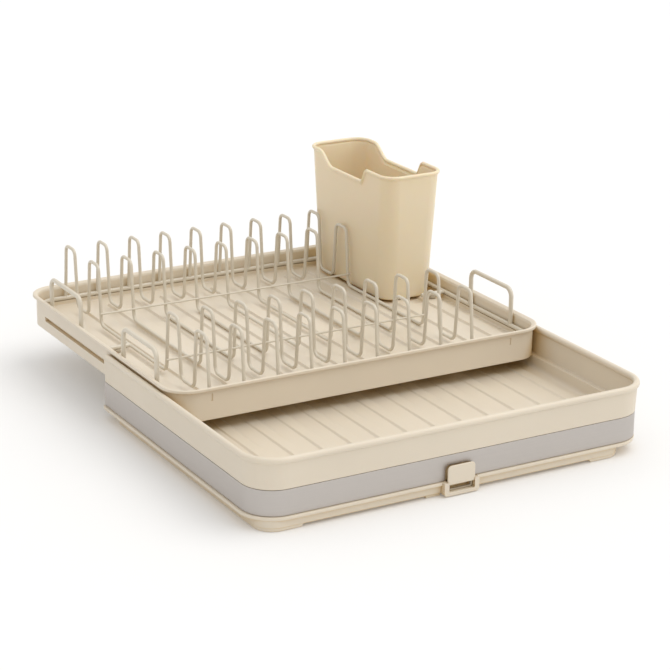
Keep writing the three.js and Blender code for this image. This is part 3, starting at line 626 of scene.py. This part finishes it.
def soft_rubber(name, colour):
    """Matt rubber with a fine grain."""
    material, nodes, links, shader = node_material(name)
    cloud = noise(nodes, links, scale=90, detail=3)
    surface = tinted(nodes, links, cloud, shade(colour, 0.9), colour)
    links.new(surface.outputs["Result"], shader.inputs["Base Color"])
    grain = noise(nodes, links, scale=1200, detail=2)
    grained = bumped(nodes, links, grain, strength=0.2, distance=0.08 * MM)
    links.new(grained.outputs["Normal"], shader.inputs["Normal"])
    shader.inputs["Roughness"].default_value = 0.8
    return material


MATERIALS = {
    "cream_shell": moulded_plastic("cream_shell", (0.705, 0.625, 0.505)),
    # The cup's painted shade in its hollows is kept to its most closed-in places
    "cream_cup": moulded_plastic("cream_cup", (0.78, 0.68, 0.50), glow=0.5, depth=4 * MM, limit=0.25),
    "coated_wire": coated_wire("coated_wire", (0.66, 0.60, 0.49)),
    "steel_band": brushed_steel("steel_band", (0.575, 0.54, 0.51)),
    "rubber": soft_rubber("rubber", (0.45, 0.38, 0.28)),
}


# Lower tray
def fall_at(y):
    """Height of the lower floor against its rib tops at y, growing negative towards the front."""
    return LOWER_RIB_SHOW * ((y - FRONT - LOWER_RIB_FRONT) / (LOWER_RIB_FADE - LOWER_RIB_FRONT) - 1)


def floor_fall(inset, y, z):
    """Shift in height of the floor's points, above and below; none for the walls."""
    under = abs(z - (LOWER_RIB_TOP - FLOOR_THICKNESS)) < SAME_HEIGHT
    inside = inset > LEDGE_INSET and z < LEDGE_TOP - STEP_RADIUS
    return fall_at(y) if under or inside else 0


def lower_tray():
    inner = BAND_RECESS + SKIRT_WALL
    profile = rounded([
        (inner, LOWER_RIB_TOP - FLOOR_THICKNESS), (inner, BAND_BOTTOM), (BAND_RECESS, BAND_BOTTOM),
        (BAND_RECESS, BAND_TOP),
        (0, BAND_TOP), *bead(BEAD_CENTRE, BEAD_RADIUS), (LOWER_WALL, LEDGE_TOP), (LEDGE_INSET, LEDGE_TOP),
        (WELL_INSET, LOWER_RIB_TOP, WELL_FILLET), (WELL_INSET + 3 * WELL_FILLET, LOWER_RIB_TOP),
    ], STEP_RADIUS)
    body = moulding(LOWER_PLAN, profile, fall=floor_fall)
    opening = block_mesh(
        (-BODY_HALF + LOWER_WALL, LOWER_REAR - LEDGE_INSET - WELL_FILLET, REAR_WALL_TOP),
        (BODY_HALF - LOWER_WALL, LOWER_REAR + 2 * BEAD_RADIUS, tray_high.z + OVERRUN))
    drain = prism(
        [(SPOUT_X + x, FRONT + DRAIN_Y + y) for x, y in
         panel(DRAIN_HALF_LENGTH, -DRAIN_HALF_WIDTH, DRAIN_HALF_WIDTH, DRAIN_CORNER, DRAIN_CORNER)],
        lambda u, v, w: (u, v, LOWER_RIB_TOP - w), FLOOR_THICKNESS + 2 * LOWER_RIB_SHOW)
    recess = spout_cutout(FRONT + FACE_SETBACK + FACE_THICKNESS + SEAT_GAP)
    mesh = combine(body, [opening, drain, recess, rear_rounding()])
    ribs = floor_ribs(
        LOWER_RIB_WIDTH, FRONT + LOWER_RIB_FRONT, FRONT + LOWER_RIB_REAR, LOWER_RIB_TOP,
        lambda y: LOWER_RIB_TOP + fall_at(y))
    rear_panel = block_mesh(
        (-BODY_HALF + REAR_RADIUS, LOWER_REAR - REAR_RADIUS, BAND_BOTTOM),
        (BODY_HALF - REAR_RADIUS, LOWER_REAR, BAND_TOP))
    lugs = [guide_lug(side) for side in (-1, 1)]
    mesh = shells_of([mesh, rear_panel, *ribs, *lugs])
    obj = flat_faces_flat(new_object("lower_tray_shell", mesh, "lower_tray_body", "cream_shell"))
    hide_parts("lower_tray")


def spout_cutout(rear):
    """Tool that cuts the opening for the spout, through to the rear plane given."""
    shape = panel(CUTOUT_HALF, BAND_BOTTOM - OVERRUN, CUTOUT_TOP, CUTOUT_RADIUS, 0)
    return face_panel(shape, SPOUT_X, FRONT - OVERRUN, rear)


def rear_rounding():
    """Tool that rounds the upper rear ends of the side walls."""
    y, z = LOWER_REAR - REAR_ROUND, tray_high.z - REAR_ROUND
    far, top = LOWER_REAR + BEAD_RADIUS + OVERRUN, tray_high.z + OVERRUN
    points = [(y, top), *arc(y, z, REAR_ROUND, 90, -90, REAR_ROUND_STEPS), (far, z), (far, top)]
    reach = tray_high.x + OVERRUN
    return prism(points, lambda u, v, w: (w - reach, u, v), 2 * reach)


def guide_lug(side):
    """Lug inside a side wall, which the upper tray's groove slides over."""
    root, tip = BODY_HALF - LOWER_WALL / 2, BODY_HALF - LOWER_WALL - LUG_REACH
    rear = LOWER_REAR - LUG_REAR_SETBACK
    xs = sorted((side * root, side * tip))
    return block_mesh(
        (xs[0], rear - LUG_LENGTH, GUIDE_Z - LUG_HEIGHT / 2), (xs[1], rear, GUIDE_Z + LUG_HEIGHT / 2))


# Steel band
def steel_band():
    half_height = (band_high.z - band_low.z) / 2
    middle = (band_high.z + band_low.z) / 2
    section = rounded([
        (0, -half_height + BAND_SEAM), (0, -half_height), (BAND_THICKNESS, -half_height),
        (BAND_THICKNESS, half_height), (0, half_height), (0, -half_height + BAND_SEAM)], BAND_EDGE)[:-1]
    bends = 2 * (CORNER_STEPS + 1)
    rings = []
    paths = [outline(LOWER_PLAN, inset)[:bends] for inset, _ in section]
    for station in range(-1, bends + 1):
        ring = []
        for (inset, z), path in zip(section, paths):
            if station < 0:
                x, y = -BODY_HALF + inset, BAND_END
            elif station == bends:
                x, y = BODY_HALF - inset, BAND_END
            else:
                x, y = path[station]
            ring.append((x, y, middle + z))
        rings.append(ring)
    mesh = combine(loft(rings), [spout_cutout(FRONT + BAND_THICKNESS + OVERRUN)])
    obj = new_object("steel_band_strip", mesh, "lower_tray_body", "steel_band")
    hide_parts("steel_band")


# Base pan
def base_pan():
    lip = PAN_TOP - PAN_LIP
    wall = PAN_WALL + SEAT_GAP
    under = rounded([
        (3 * BOWL_EDGE, PAN_BOTTOM), (0, PAN_BOTTOM, BOWL_EDGE), (0, lip)], BOWL_EDGE)
    rim = rounded([
        (0.2 * PAN_FLANGE, lip), (PAN_FLANGE, lip), (PAN_FLANGE, PAN_TOP), (PAN_WALL, PAN_TOP),
        (PAN_WALL, lip + PAN_FLOOR)], PAN_EDGE)
    inside = rounded([
        (wall, lip + PAN_FLOOR), (wall, PAN_BOTTOM + PAN_FLOOR),
        (wall + 2 * PAN_CURVE, PAN_BOTTOM + PAN_FLOOR)], PAN_CURVE)
    body = loft(mould_rings(BOWL_PLAN, under) + mould_rings(LIP_PLAN, rim) + mould_rings(BOWL_PLAN, inside))
    room = block_mesh(
        (SPOUT_X - BRACKET_HALF - SEAT_GAP, pan_low.y - OVERRUN, 0),
        (SPOUT_X + BRACKET_HALF + SEAT_GAP, FRONT + FACE_SETBACK + FACE_THICKNESS + SEAT_GAP,
         PAN_TOP + OVERRUN))
    block_x = SPOUT_X + FOOT_BLOCK_SHIFT
    foot_block = block_mesh(
        (block_x - FOOT_BLOCK_HALF, FRONT + FOOT_BLOCK_FRONT, RUNNER_BOTTOM),
        (block_x + FOOT_BLOCK_HALF, FRONT + FOOT_BLOCK_FRONT + FOOT_BLOCK_DEPTH, PAN_BOTTOM + PAN_FLOOR / 2))
    runners = [foot_runner(side) for side in (-1, 1)]
    mesh = combine(body, [foot_block, *runners], "UNION")
    sockets = [pad_mesh(name, SEAT_GAP, 0, SOCKET_TOP) for name in PADS]
    obj = new_object("base_pan_shell", combine(mesh, [room, *sockets]), "lower_tray_body", "cream_shell")
    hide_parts("base_pan")


def foot_runner(side):
    """Runner along a side of the bowl, with its inner flank sloping."""
    rise = PAN_BOTTOM + PAN_FLOOR / 2 - RUNNER_BOTTOM
    body = moulding(BOWL_PLAN, rounded([
        (3 * RUNNER_INSET, RUNNER_BOTTOM), (RUNNER_INSET, RUNNER_BOTTOM),
        (RUNNER_INSET, RUNNER_BOTTOM + rise)], RUNNER_EDGE))
    inner = BOWL_SHIFT + side * (BOWL_PLAN["half"] - RUNNER_WIDTH)
    outer = BOWL_SHIFT + side * (BOWL_PLAN["half"] + OVERRUN)
    points = [(inner, -OVERRUN), (outer, -OVERRUN), (outer, rise + OVERRUN),
              (inner - side * RUNNER_SLOPE, rise + OVERRUN)]
    strip = prism(
        points, lambda u, v, w: (u, FRONT - OVERRUN + w, RUNNER_BOTTOM + v), LOWER_REAR - FRONT + 2 * OVERRUN)
    return combine(body, [strip], "INTERSECT")


def pad_mesh(name, grow, low, high):
    """Outline of a foot pad as a prism, or a socket for it when grown."""
    pad_low, pad_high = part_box(name)
    x, r = (pad_low.x + pad_high.x) / 2, (pad_high.x - pad_low.x) / 2
    y0, y1 = pad_low.y + r, pad_high.y - r
    points = arc(x, y0, r + grow, 180, 180, PAD_STEPS) + arc(x, y1, r + grow, 0, 180, PAD_STEPS)
    return prism(points, lambda u, v, w: (u, v, low + w), high - low)


def foot_pads():
    for name in PADS:
        pad_low, pad_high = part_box(name)
        mesh = pad_mesh(name, 0, pad_low.z, pad_high.z)
        obj = edge_round(new_object(name + "_rubber", mesh, "lower_tray_body", "rubber"), PAD_EDGE)
        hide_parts(name)


# Spout
def spout():
    face_rear = FRONT + FACE_SETBACK + FACE_THICKNESS
    bracket = face_panel(
        panel(BRACKET_HALF, housing_low.z, PAN_TOP, SMALLEST_RADIUS, BRACKET_RADIUS),
        SPOUT_X, housing_low.y, face_rear)
    mouth = face_panel(
        panel(MOUTH_HALF, MOUTH_BOTTOM, PAN_TOP + OVERRUN, SMALLEST_RADIUS, MOUTH_CORNER), SPOUT_X,
        housing_low.y - OVERRUN, FRONT + FACE_SETBACK)
    slot_half = gate_high.x - SPOUT_X + SEAT_GAP
    slot = block_mesh(
        (SPOUT_X - slot_half, gate_low.y - SEAT_GAP, MOUTH_BOTTOM),
        (SPOUT_X + slot_half, gate_high.y + SEAT_GAP, PAN_TOP + OVERRUN))
    bracket = combine(bracket, [mouth, slot])
    obj = edge_round(new_object("spout_bracket", bracket, "lower_tray_body", "cream_shell"), EDGE_ROUND)
    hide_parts("spout_housing")
    face = face_panel(
        panel(CUTOUT_HALF - SEAT_GAP, MOUTH_BOTTOM, CUTOUT_TOP - SEAT_GAP, CUTOUT_RADIUS, 0), SPOUT_X,
        FRONT + FACE_SETBACK, face_rear)
    duct_top = seal_high.z
    duct = block_mesh(
        (SPOUT_X - DUCT_HALF - DUCT_WALL, FRONT + DUCT_FRONT, seal_low.z),
        (SPOUT_X + DUCT_HALF + DUCT_WALL, FRONT + DRAIN_Y, duct_top))
    funnel = block_mesh(
        (SPOUT_X - DUCT_HALF - DUCT_WALL, FRONT + DRAIN_Y - DRAIN_HALF_WIDTH - DUCT_WALL, seal_low.z),
        (SPOUT_X + DUCT_HALF + DUCT_WALL, housing_high.y, housing_high.z))
    bore = block_mesh(
        (SPOUT_X - DUCT_HALF, FRONT - OVERRUN, seal_low.z + DUCT_WALL),
        (SPOUT_X + DUCT_HALF, FRONT + DRAIN_Y + DRAIN_HALF_WIDTH, duct_top - DUCT_WALL))
    drop = block_mesh(
        (SPOUT_X - DUCT_HALF, FRONT + DRAIN_Y - DRAIN_HALF_WIDTH, seal_low.z + DUCT_WALL),
        (SPOUT_X + DUCT_HALF, FRONT + DRAIN_Y + DRAIN_HALF_WIDTH, housing_high.z + OVERRUN))
    duct = combine(combine(face, [duct, funnel], "UNION"), [bore, drop])
    new_object("spout_duct", duct, "lower_tray_body", "cream_shell")


def spout_seal():
    ring = face_panel(
        panel(DUCT_HALF + DUCT_WALL, seal_low.z, seal_high.z, SEAL_CORNER, SEAL_CORNER),
        SPOUT_X, seal_low.y, seal_high.y)
    hole = face_panel(
        panel(DUCT_HALF, seal_low.z + DUCT_WALL, seal_high.z - DUCT_WALL, SMALLEST_RADIUS, 0), SPOUT_X,
        seal_low.y - OVERRUN, seal_high.y + OVERRUN)
    obj = new_object("spout_seal_ring", combine(ring, [hole]), "lower_tray_body", "rubber")
    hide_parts("spout_seal")


def spout_gate():
    half = (gate_high.x - gate_low.x) / 2
    plate = face_panel(
        panel(half, gate_low.z, gate_high.z, GATE_RADIUS, GATE_FOOT_RADIUS, GATE_STEPS),
        SPOUT_X, gate_low.y, gate_high.y)
    obj = new_object("spout_gate_plate", plate, "gate_body", "cream_shell")
    edge_round(obj, GATE_EDGE, GATE_EDGE_STEPS)
    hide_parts("spout_gate")


# Upper tray
def upper_tray():
    rise = RIM_TOP - RIM_LOW
    profile = rounded([
        (UPPER_WALL, UPPER_FLOOR - FLOOR_THICKNESS), (UPPER_WALL, UPPER_BOTTOM), (0, UPPER_BOTTOM),
        (0, RIM_LOW + RIM_LIP, RIM_ROUND), (-RIM_OVERHANG + RIM_LIP, RIM_LOW + RIM_LIP, RIM_EDGE),
        (-RIM_OVERHANG + RIM_LIP, RIM_LOW, RIM_EDGE), (-RIM_OVERHANG, RIM_LOW, RIM_EDGE),
        (-RIM_OVERHANG, RIM_LOW + 0.85 * rise, RIM_ROUND), (-0.55 * RIM_OVERHANG, RIM_TOP, 0.6 * MM),
        (0.6 * UPPER_WALL, RIM_LOW + 0.55 * rise, 1.2 * MM), (UPPER_WALL, RIM_LOW - 0.1 * rise, 1 * MM),
        (UPPER_WALL, SHELF_TOP, SHELF_FILLET), (SHELF_INSET, SHELF_TOP),
        (SHELF_INSET, UPPER_FLOOR, UPPER_FILLET), (SHELF_INSET + 3 * UPPER_FILLET, UPPER_FLOOR),
    ], STEP_RADIUS)
    body = moulding(UPPER_PLAN, profile)
    ribs = floor_ribs(
        UPPER_RIB_WIDTH, UPPER_FRONT + UPPER_RIB_FRONT_INSET, UPPER_REAR - UPPER_RIB_REAR_INSET,
        UPPER_RIB_TOP, lambda y: UPPER_FLOOR)
    guides = [guide_groove(side) for side in (-1, 1)]
    marks = [block_mesh(
        (side * MARK_X - MARK_WIDTH / 2, UPPER_FRONT - OVERRUN, RIM_LOW - MARK_DROP - MARK_HEIGHT),
        (side * MARK_X + MARK_WIDTH / 2, UPPER_FRONT + MARK_DEPTH, RIM_LOW - MARK_DROP)) for side in (-1, 1)]
    drains = []
    for i in range(UPPER_DRAINS):
        x = (i - (UPPER_DRAINS - 1) / 2) * UPPER_DRAIN_PITCH
        y = UPPER_FRONT + UPPER_DRAIN_INSET
        drains.append(block_mesh(
            (x - UPPER_DRAIN_LENGTH / 2, y, UPPER_FLOOR - FLOOR_THICKNESS - OVERRUN),
            (x + UPPER_DRAIN_LENGTH / 2, y + UPPER_DRAIN_WIDTH, UPPER_FLOOR + OVERRUN)))
    mesh = shells_of([combine(body, [*guides, *marks, *drains]), *ribs])
    obj = flat_faces_flat(new_object("upper_tray_shell", mesh, "upper_tray_body", "cream_shell"))
    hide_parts("upper_tray")


def guide_groove(side):
    """Groove in the upper tray's side, as long as the slide needs."""
    slide_range = frame_range("upper_tray_slide")
    lug_rear = LOWER_REAR - LUG_REAR_SETBACK
    xs = sorted((side * (UPPER_HALF + OVERRUN), side * (UPPER_HALF - GUIDE_DEPTH)))
    return block_mesh(
        (xs[0], lug_rear - LUG_LENGTH - slide_range[1] - SEAT_GAP, GUIDE_Z - GUIDE_HEIGHT / 2),
        (xs[1], lug_rear - slide_range[0] + SEAT_GAP, GUIDE_Z + GUIDE_HEIGHT / 2))


def frame_range(name):
    joints = frame["record"]["behaviour"]["joints"]
    return next(joint["range_m"] for joint in joints if joint["name"] == name)


# Wire rack
def bent(corners, radius):
    """Polyline whose inner corners are arcs; radius is one value or one for each corner."""
    radii = radius if isinstance(radius, list) else [radius] * len(corners)
    points = [corners[0]]
    for i in range(1, len(corners) - 1):
        into = (corners[i] - corners[i - 1]).normalized()
        out = (corners[i + 1] - corners[i]).normalized()
        turn = into.angle(out)
        reach = radii[i] * math.tan(turn / 2)
        normal = (out - into * out.dot(into)).normalized()
        start = corners[i] - into * reach
        for s in range(BEND_STEPS + 1):
            a = turn * s / BEND_STEPS
            points.append(start + into * radii[i] * math.sin(a) + normal * radii[i] * (1 - math.cos(a)))
    points.append(corners[-1])
    return points


def wire(name, points, radius, node, closed=False):
    curve = bpy.data.curves.new(name, "CURVE")
    curve.dimensions = "3D"
    curve.bevel_depth = radius
    curve.bevel_resolution = WIRE_BEVEL
    curve.use_fill_caps = not closed
    spline = curve.splines.new("POLY")
    spline.points.add(len(points) - 1)
    for target, p in zip(spline.points, points):
        target.co = (*p, 1)
    spline.use_cyclic_u = closed
    spline.use_smooth = True
    obj = bpy.data.objects.new(name, curve)
    bpy.context.scene.collection.objects.link(obj)
    curve.materials.append(MATERIALS["coated_wire"])
    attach(obj, "rack_body")
    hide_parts(node)


def rack_rail():
    plan = dict(half=RAIL_X, front=RAIL_FRONT, rear=RAIL_REAR, front_r=RAIL_CORNER, rear_r=RAIL_CORNER)
    points = [Vector((x, y, RAIL_Z)) for x, y in outline(plan, 0, RAIL_CORNER_STEPS)]
    wire("rail_ring", points, RAIL_RADIUS, "rack_rail", True)


def hump_feet():
    """Rear and front foot of each hump, from the rear to the front."""
    second = HUMP_FOOT + HUMP_GAP
    return [
        (RAIL_REAR, RAIL_REAR - HUMP_FOOT), (RAIL_REAR - second, RAIL_REAR - second - HUMP_FOOT),
        (RAIL_FRONT + second + HUMP_FOOT, RAIL_FRONT + second), (RAIL_FRONT + HUMP_FOOT, RAIL_FRONT)]


def wave_wires():
    lean = (HUMP_FOOT - HUMP_TOP) / 2
    feet = hump_feet()
    on_rail = RAIL_Z + RAIL_RADIUS - WELD
    heights = [
        (on_rail, VALLEY_HEIGHT), (VALLEY_HEIGHT, WAVE_FLOOR),
        (WAVE_FLOOR, VALLEY_HEIGHT), (VALLEY_HEIGHT, on_rail)]
    index = 1
    while f"wave_wire_{index}" in frame["nodes"]:
        low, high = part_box(f"wave_wire_{index}")
        x = (low.x + high.x) / 2
        corners, radii = [], []
        for i, (rear, front) in enumerate(feet):
            corners.append(Vector((x, rear, heights[i][0])))
            corners.append(Vector((x, rear - lean, WAVE_TOP)))
            corners.append(Vector((x, front + lean, WAVE_TOP)))
            corners.append(Vector((x, front, heights[i][1])))
            radii += [WAVE_FOOT_BEND, HUMP_BEND, HUMP_BEND, WAVE_FOOT_BEND]
        wire(f"wave_{index}", bent(corners, radii), WIRE_RADIUS, f"wave_wire_{index}")
        index += 1


def cross_wires():
    for end in ("front", "rear"):
        low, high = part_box(f"cross_wire_{end}")
        y, z = (low.y + high.y) / 2, (low.z + high.z) / 2
        points = [Vector((x, y + SEAT_GAP, z)) for x in (low.x, high.x)]
        wire(f"cross_{end}", points, CROSS_WIRE_RADIUS, f"cross_wire_{end}")


def handles():
    for end in ("front", "rear"):
        for side in ("left", "right"):
            low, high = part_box(f"handle_{end}_{side}")
            x = (low.x + high.x) / 2
            rear, front = high.y - RAIL_RADIUS, low.y + RAIL_RADIUS
            top, foot = high.z - RAIL_RADIUS, RAIL_Z + RAIL_RADIUS - WELD
            corners = [Vector((x, y, z)) for y, z in ((rear, foot), (rear, top), (front, top), (front, foot))]
            wire(f"handle_{end}_{side}_bar", bent(corners, HANDLE_BEND), RAIL_RADIUS, f"handle_{end}_{side}")


def struts():
    for side in ("left", "right"):
        low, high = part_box(f"rail_strut_{side}")
        y, z = (low.y + high.y) / 2, (low.z + high.z) / 2
        ends = [low.x, high.x]
        inner = min(ends, key=abs)
        outer = max(ends, key=abs)
        reach = math.copysign(SEAT_GAP + WELD, outer)
        points = [Vector((inner, y, z)), Vector((outer + reach, y, z))]
        wire(f"strut_{side}", points, RAIL_RADIUS, f"rail_strut_{side}")
        foot_low, foot_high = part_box(f"strut_foot_{side}")
        cx, r = (foot_low.x + foot_high.x) / 2, (foot_high.x - foot_low.x) / 2
        mesh = prism(
            arc(cx, y, r, 0, 360, FOOT_STEPS)[:-1], lambda u, v, w: (u, v, foot_low.z + w),
            foot_high.z - foot_low.z + SEAT_GAP + WELD)
        obj = edge_round(new_object(f"strut_foot_{side}_rubber", mesh, "rack_body", "rubber"), STRUT_FOOT_EDGE)
        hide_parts(f"strut_foot_{side}")


# Cutlery cup
def notch(share):
    """Depth of the rim's dip as a share, along a long side from front to rear."""
    a, b, c, d = NOTCH_SHARES
    return smooth((share - a) / (b - a)) * (1 - smooth((share - c) / (d - c)))


def cup_ring(inset, height, dip):
    """Outline of the cup at a height, drawn in by an inset, with a share of the rim's dip."""
    share = (height - CUP_BOTTOM) / (CUP_TOP - CUP_BOTTOM)
    half_x = CUP_TOP_HALF_X - CUP_FLARE_X * (1 - share) - inset
    half_y = CUP_TOP_HALF_Y - CUP_FLARE_Y * (1 - share) - inset
    r = CUP_CORNER - inset
    front, rear = -half_y + r, half_y - r
    along = [(i / CUP_SIDE_STEPS, notch(i / CUP_SIDE_STEPS)) for i in range(1, CUP_SIDE_STEPS)]
    points = [(x, y, 0) for x, y in arc(-half_x + r, front, r, 180, 90, CUP_CORNER_STEPS)]
    points += [(x, y, 0) for x, y in arc(half_x - r, front, r, 270, 90, CUP_CORNER_STEPS)]
    points += [(half_x, front + t * (rear - front), depth) for t, depth in along]
    points += [(x, y, 0) for x, y in arc(half_x - r, rear, r, 0, 90, CUP_CORNER_STEPS)]
    points += [(x, y, 0) for x, y in arc(-half_x + r, rear, r, 90, 90, CUP_CORNER_STEPS)]
    points += [(-half_x, front + t * (rear - front), depth) for t, depth in reversed(along)]
    return [(CUP_X + x, CUP_Y + y, height - dip * depth * CUP_NOTCH) for x, y, depth in points]


def cutlery_cup():
    rim_foot = CUP_TOP - 2 * CUP_BEAD
    inner_floor = CUP_BOTTOM + CUP_WALL
    rings = [cup_ring(inset, z, 0) for inset, z in rounded([
        (2 * CUP_CHAMFER, CUP_BOTTOM), (0, CUP_BOTTOM, CUP_CHAMFER), (0, CUP_BOTTOM + 2 * CUP_CHAMFER)], 0)]
    rings += [cup_ring(0, z, 0) for z in (
        CUP_BOTTOM + CUP_SUPPORT, rim_foot - CUP_NOTCH - CUP_SUPPORT, rim_foot - CUP_NOTCH)]
    rings.append(cup_ring(0, rim_foot, 1))
    rings += [cup_ring(inset, z, 1) for inset, z, _ in bead(CUP_TOP, CUP_BEAD)]
    rings.append(cup_ring(CUP_WALL, rim_foot, 1))
    rings += [cup_ring(CUP_WALL, z, 0) for z in (rim_foot - CUP_NOTCH, rim_foot - CUP_NOTCH - CUP_SUPPORT)]
    rings += [cup_ring(CUP_WALL + inset, z, 0) for inset, z in rounded([
        (0, inner_floor + 2 * CUP_CHAMFER), (0, inner_floor, CUP_CHAMFER), (2 * CUP_CHAMFER, inner_floor)], 0)]
    holes = []
    for row in range(CUP_HOLE_ROWS):
        for column in (-1, 0, 1):
            x = CUP_X + column * CUP_HOLE_SPREAD
            y = CUP_Y + (row - (CUP_HOLE_ROWS - 1) / 2) * CUP_HOLE_PITCH
            holes.append(prism(
                arc(x, y, CUP_HOLE_RADIUS, 0, 360, CUP_HOLE_STEPS)[:-1],
                lambda u, v, w: (u, v, CUP_BOTTOM - OVERRUN + w), CUP_WALL + 2 * OVERRUN))
    mesh = combine(loft(rings), holes)
    obj = flat_faces_flat(new_object("cutlery_cup_shell", mesh, "cup_body", "cream_cup"))
    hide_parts("cutlery_cup")


# Floor, lights and camera
def stage():
    """Plain pale floor."""
    material, _, _, shader = node_material("floor")
    shader.inputs["Base Color"].default_value = (FLOOR_TONE, FLOOR_TONE, FLOOR_TONE, 1)
    shader.inputs["Roughness"].default_value = 0.9
    shader.inputs["Specular IOR Level"].default_value = 0.1
    shader.inputs["Emission Color"].default_value = (1, 1, 1, 1)
    shader.inputs["Emission Strength"].default_value = FLOOR_GLOW
    mesh = bpy.data.meshes.new("floor")
    corners = [(x * FLOOR_HALF, y * FLOOR_HALF, 0) for x, y in ((-1, -1), (1, -1), (1, 1), (-1, 1))]
    mesh.from_pydata(corners, [], [(0, 1, 2, 3)])
    mesh.materials.append(material)
    floor = bpy.data.objects.new("floor", mesh)
    bpy.context.scene.collection.objects.link(floor)
    bpy.context.scene.view_settings.view_transform = "Standard"


def studio_light():
    """Soft white surroundings, dimmer to the left and brighter above and to the right, with one soft key."""
    world = bpy.data.worlds.new("studio")
    world.use_nodes = True
    nodes, links = world.node_tree.nodes, world.node_tree.links
    place = nodes.new("ShaderNodeTexCoord")
    facing = nodes.new("ShaderNodeVectorMath")
    facing.operation = "DOT_PRODUCT"
    facing.inputs[1].default_value = Vector(BRIGHT_SIDE).normalized()
    ranged = nodes.new("ShaderNodeMapRange")
    ranged.inputs["From Min"].default_value = -1
    ranged.inputs["To Min"].default_value = WORLD_DIM
    ranged.inputs["To Max"].default_value = WORLD_BRIGHT
    background = nodes["Background"]
    background.inputs["Color"].default_value = (*WORLD_TONE, 1)
    links.new(place.outputs["Generated"], facing.inputs[0])
    links.new(facing.outputs["Value"], ranged.inputs["Value"])
    links.new(ranged.outputs["Result"], background.inputs["Strength"])
    bpy.context.scene.world = world
    light = bpy.data.lights.new("key", "SUN")
    light.energy = KEY_STRENGTH
    light.angle = math.radians(KEY_SOFTNESS)
    light.color = KEY_TONE
    obj = bpy.data.objects.new("key", light)
    obj.rotation_euler = (-Vector(KEY_FROM)).to_track_quat("-Z", "Y").to_euler()
    bpy.context.scene.collection.objects.link(obj)


def camera():
    yaw, pitch, roll = map(math.radians, (CAMERA_YAW, CAMERA_PITCH, CAMERA_ROLL))
    back = Vector((math.sin(yaw) * math.cos(pitch), -math.cos(yaw) * math.cos(pitch), math.sin(pitch)))
    right = Vector((math.cos(yaw), math.sin(yaw), 0))
    up = back.cross(right)
    turned_right = right * math.cos(roll) + up * math.sin(roll)
    turned_up = up * math.cos(roll) - right * math.sin(roll)
    data = bpy.data.cameras.new("camera")
    data.lens = CAMERA_LENS
    data.sensor_width = CAMERA_SENSOR
    data.clip_end = CAMERA_REACH
    obj = bpy.data.objects.new("camera", data)
    turn = Matrix((turned_right, turned_up, back)).transposed()
    obj.matrix_world = Matrix.Translation(TARGET + back * CAMERA_DISTANCE) @ turn.to_4x4()
    bpy.context.scene.collection.objects.link(obj)
    bpy.context.scene.camera = obj


lower_tray()
steel_band()
base_pan()
foot_pads()
spout()
spout_seal()
spout_gate()
upper_tray()
rack_rail()
wave_wires()
cross_wires()
handles()
struts()
cutlery_cup()
stage()
studio_light()
camera()
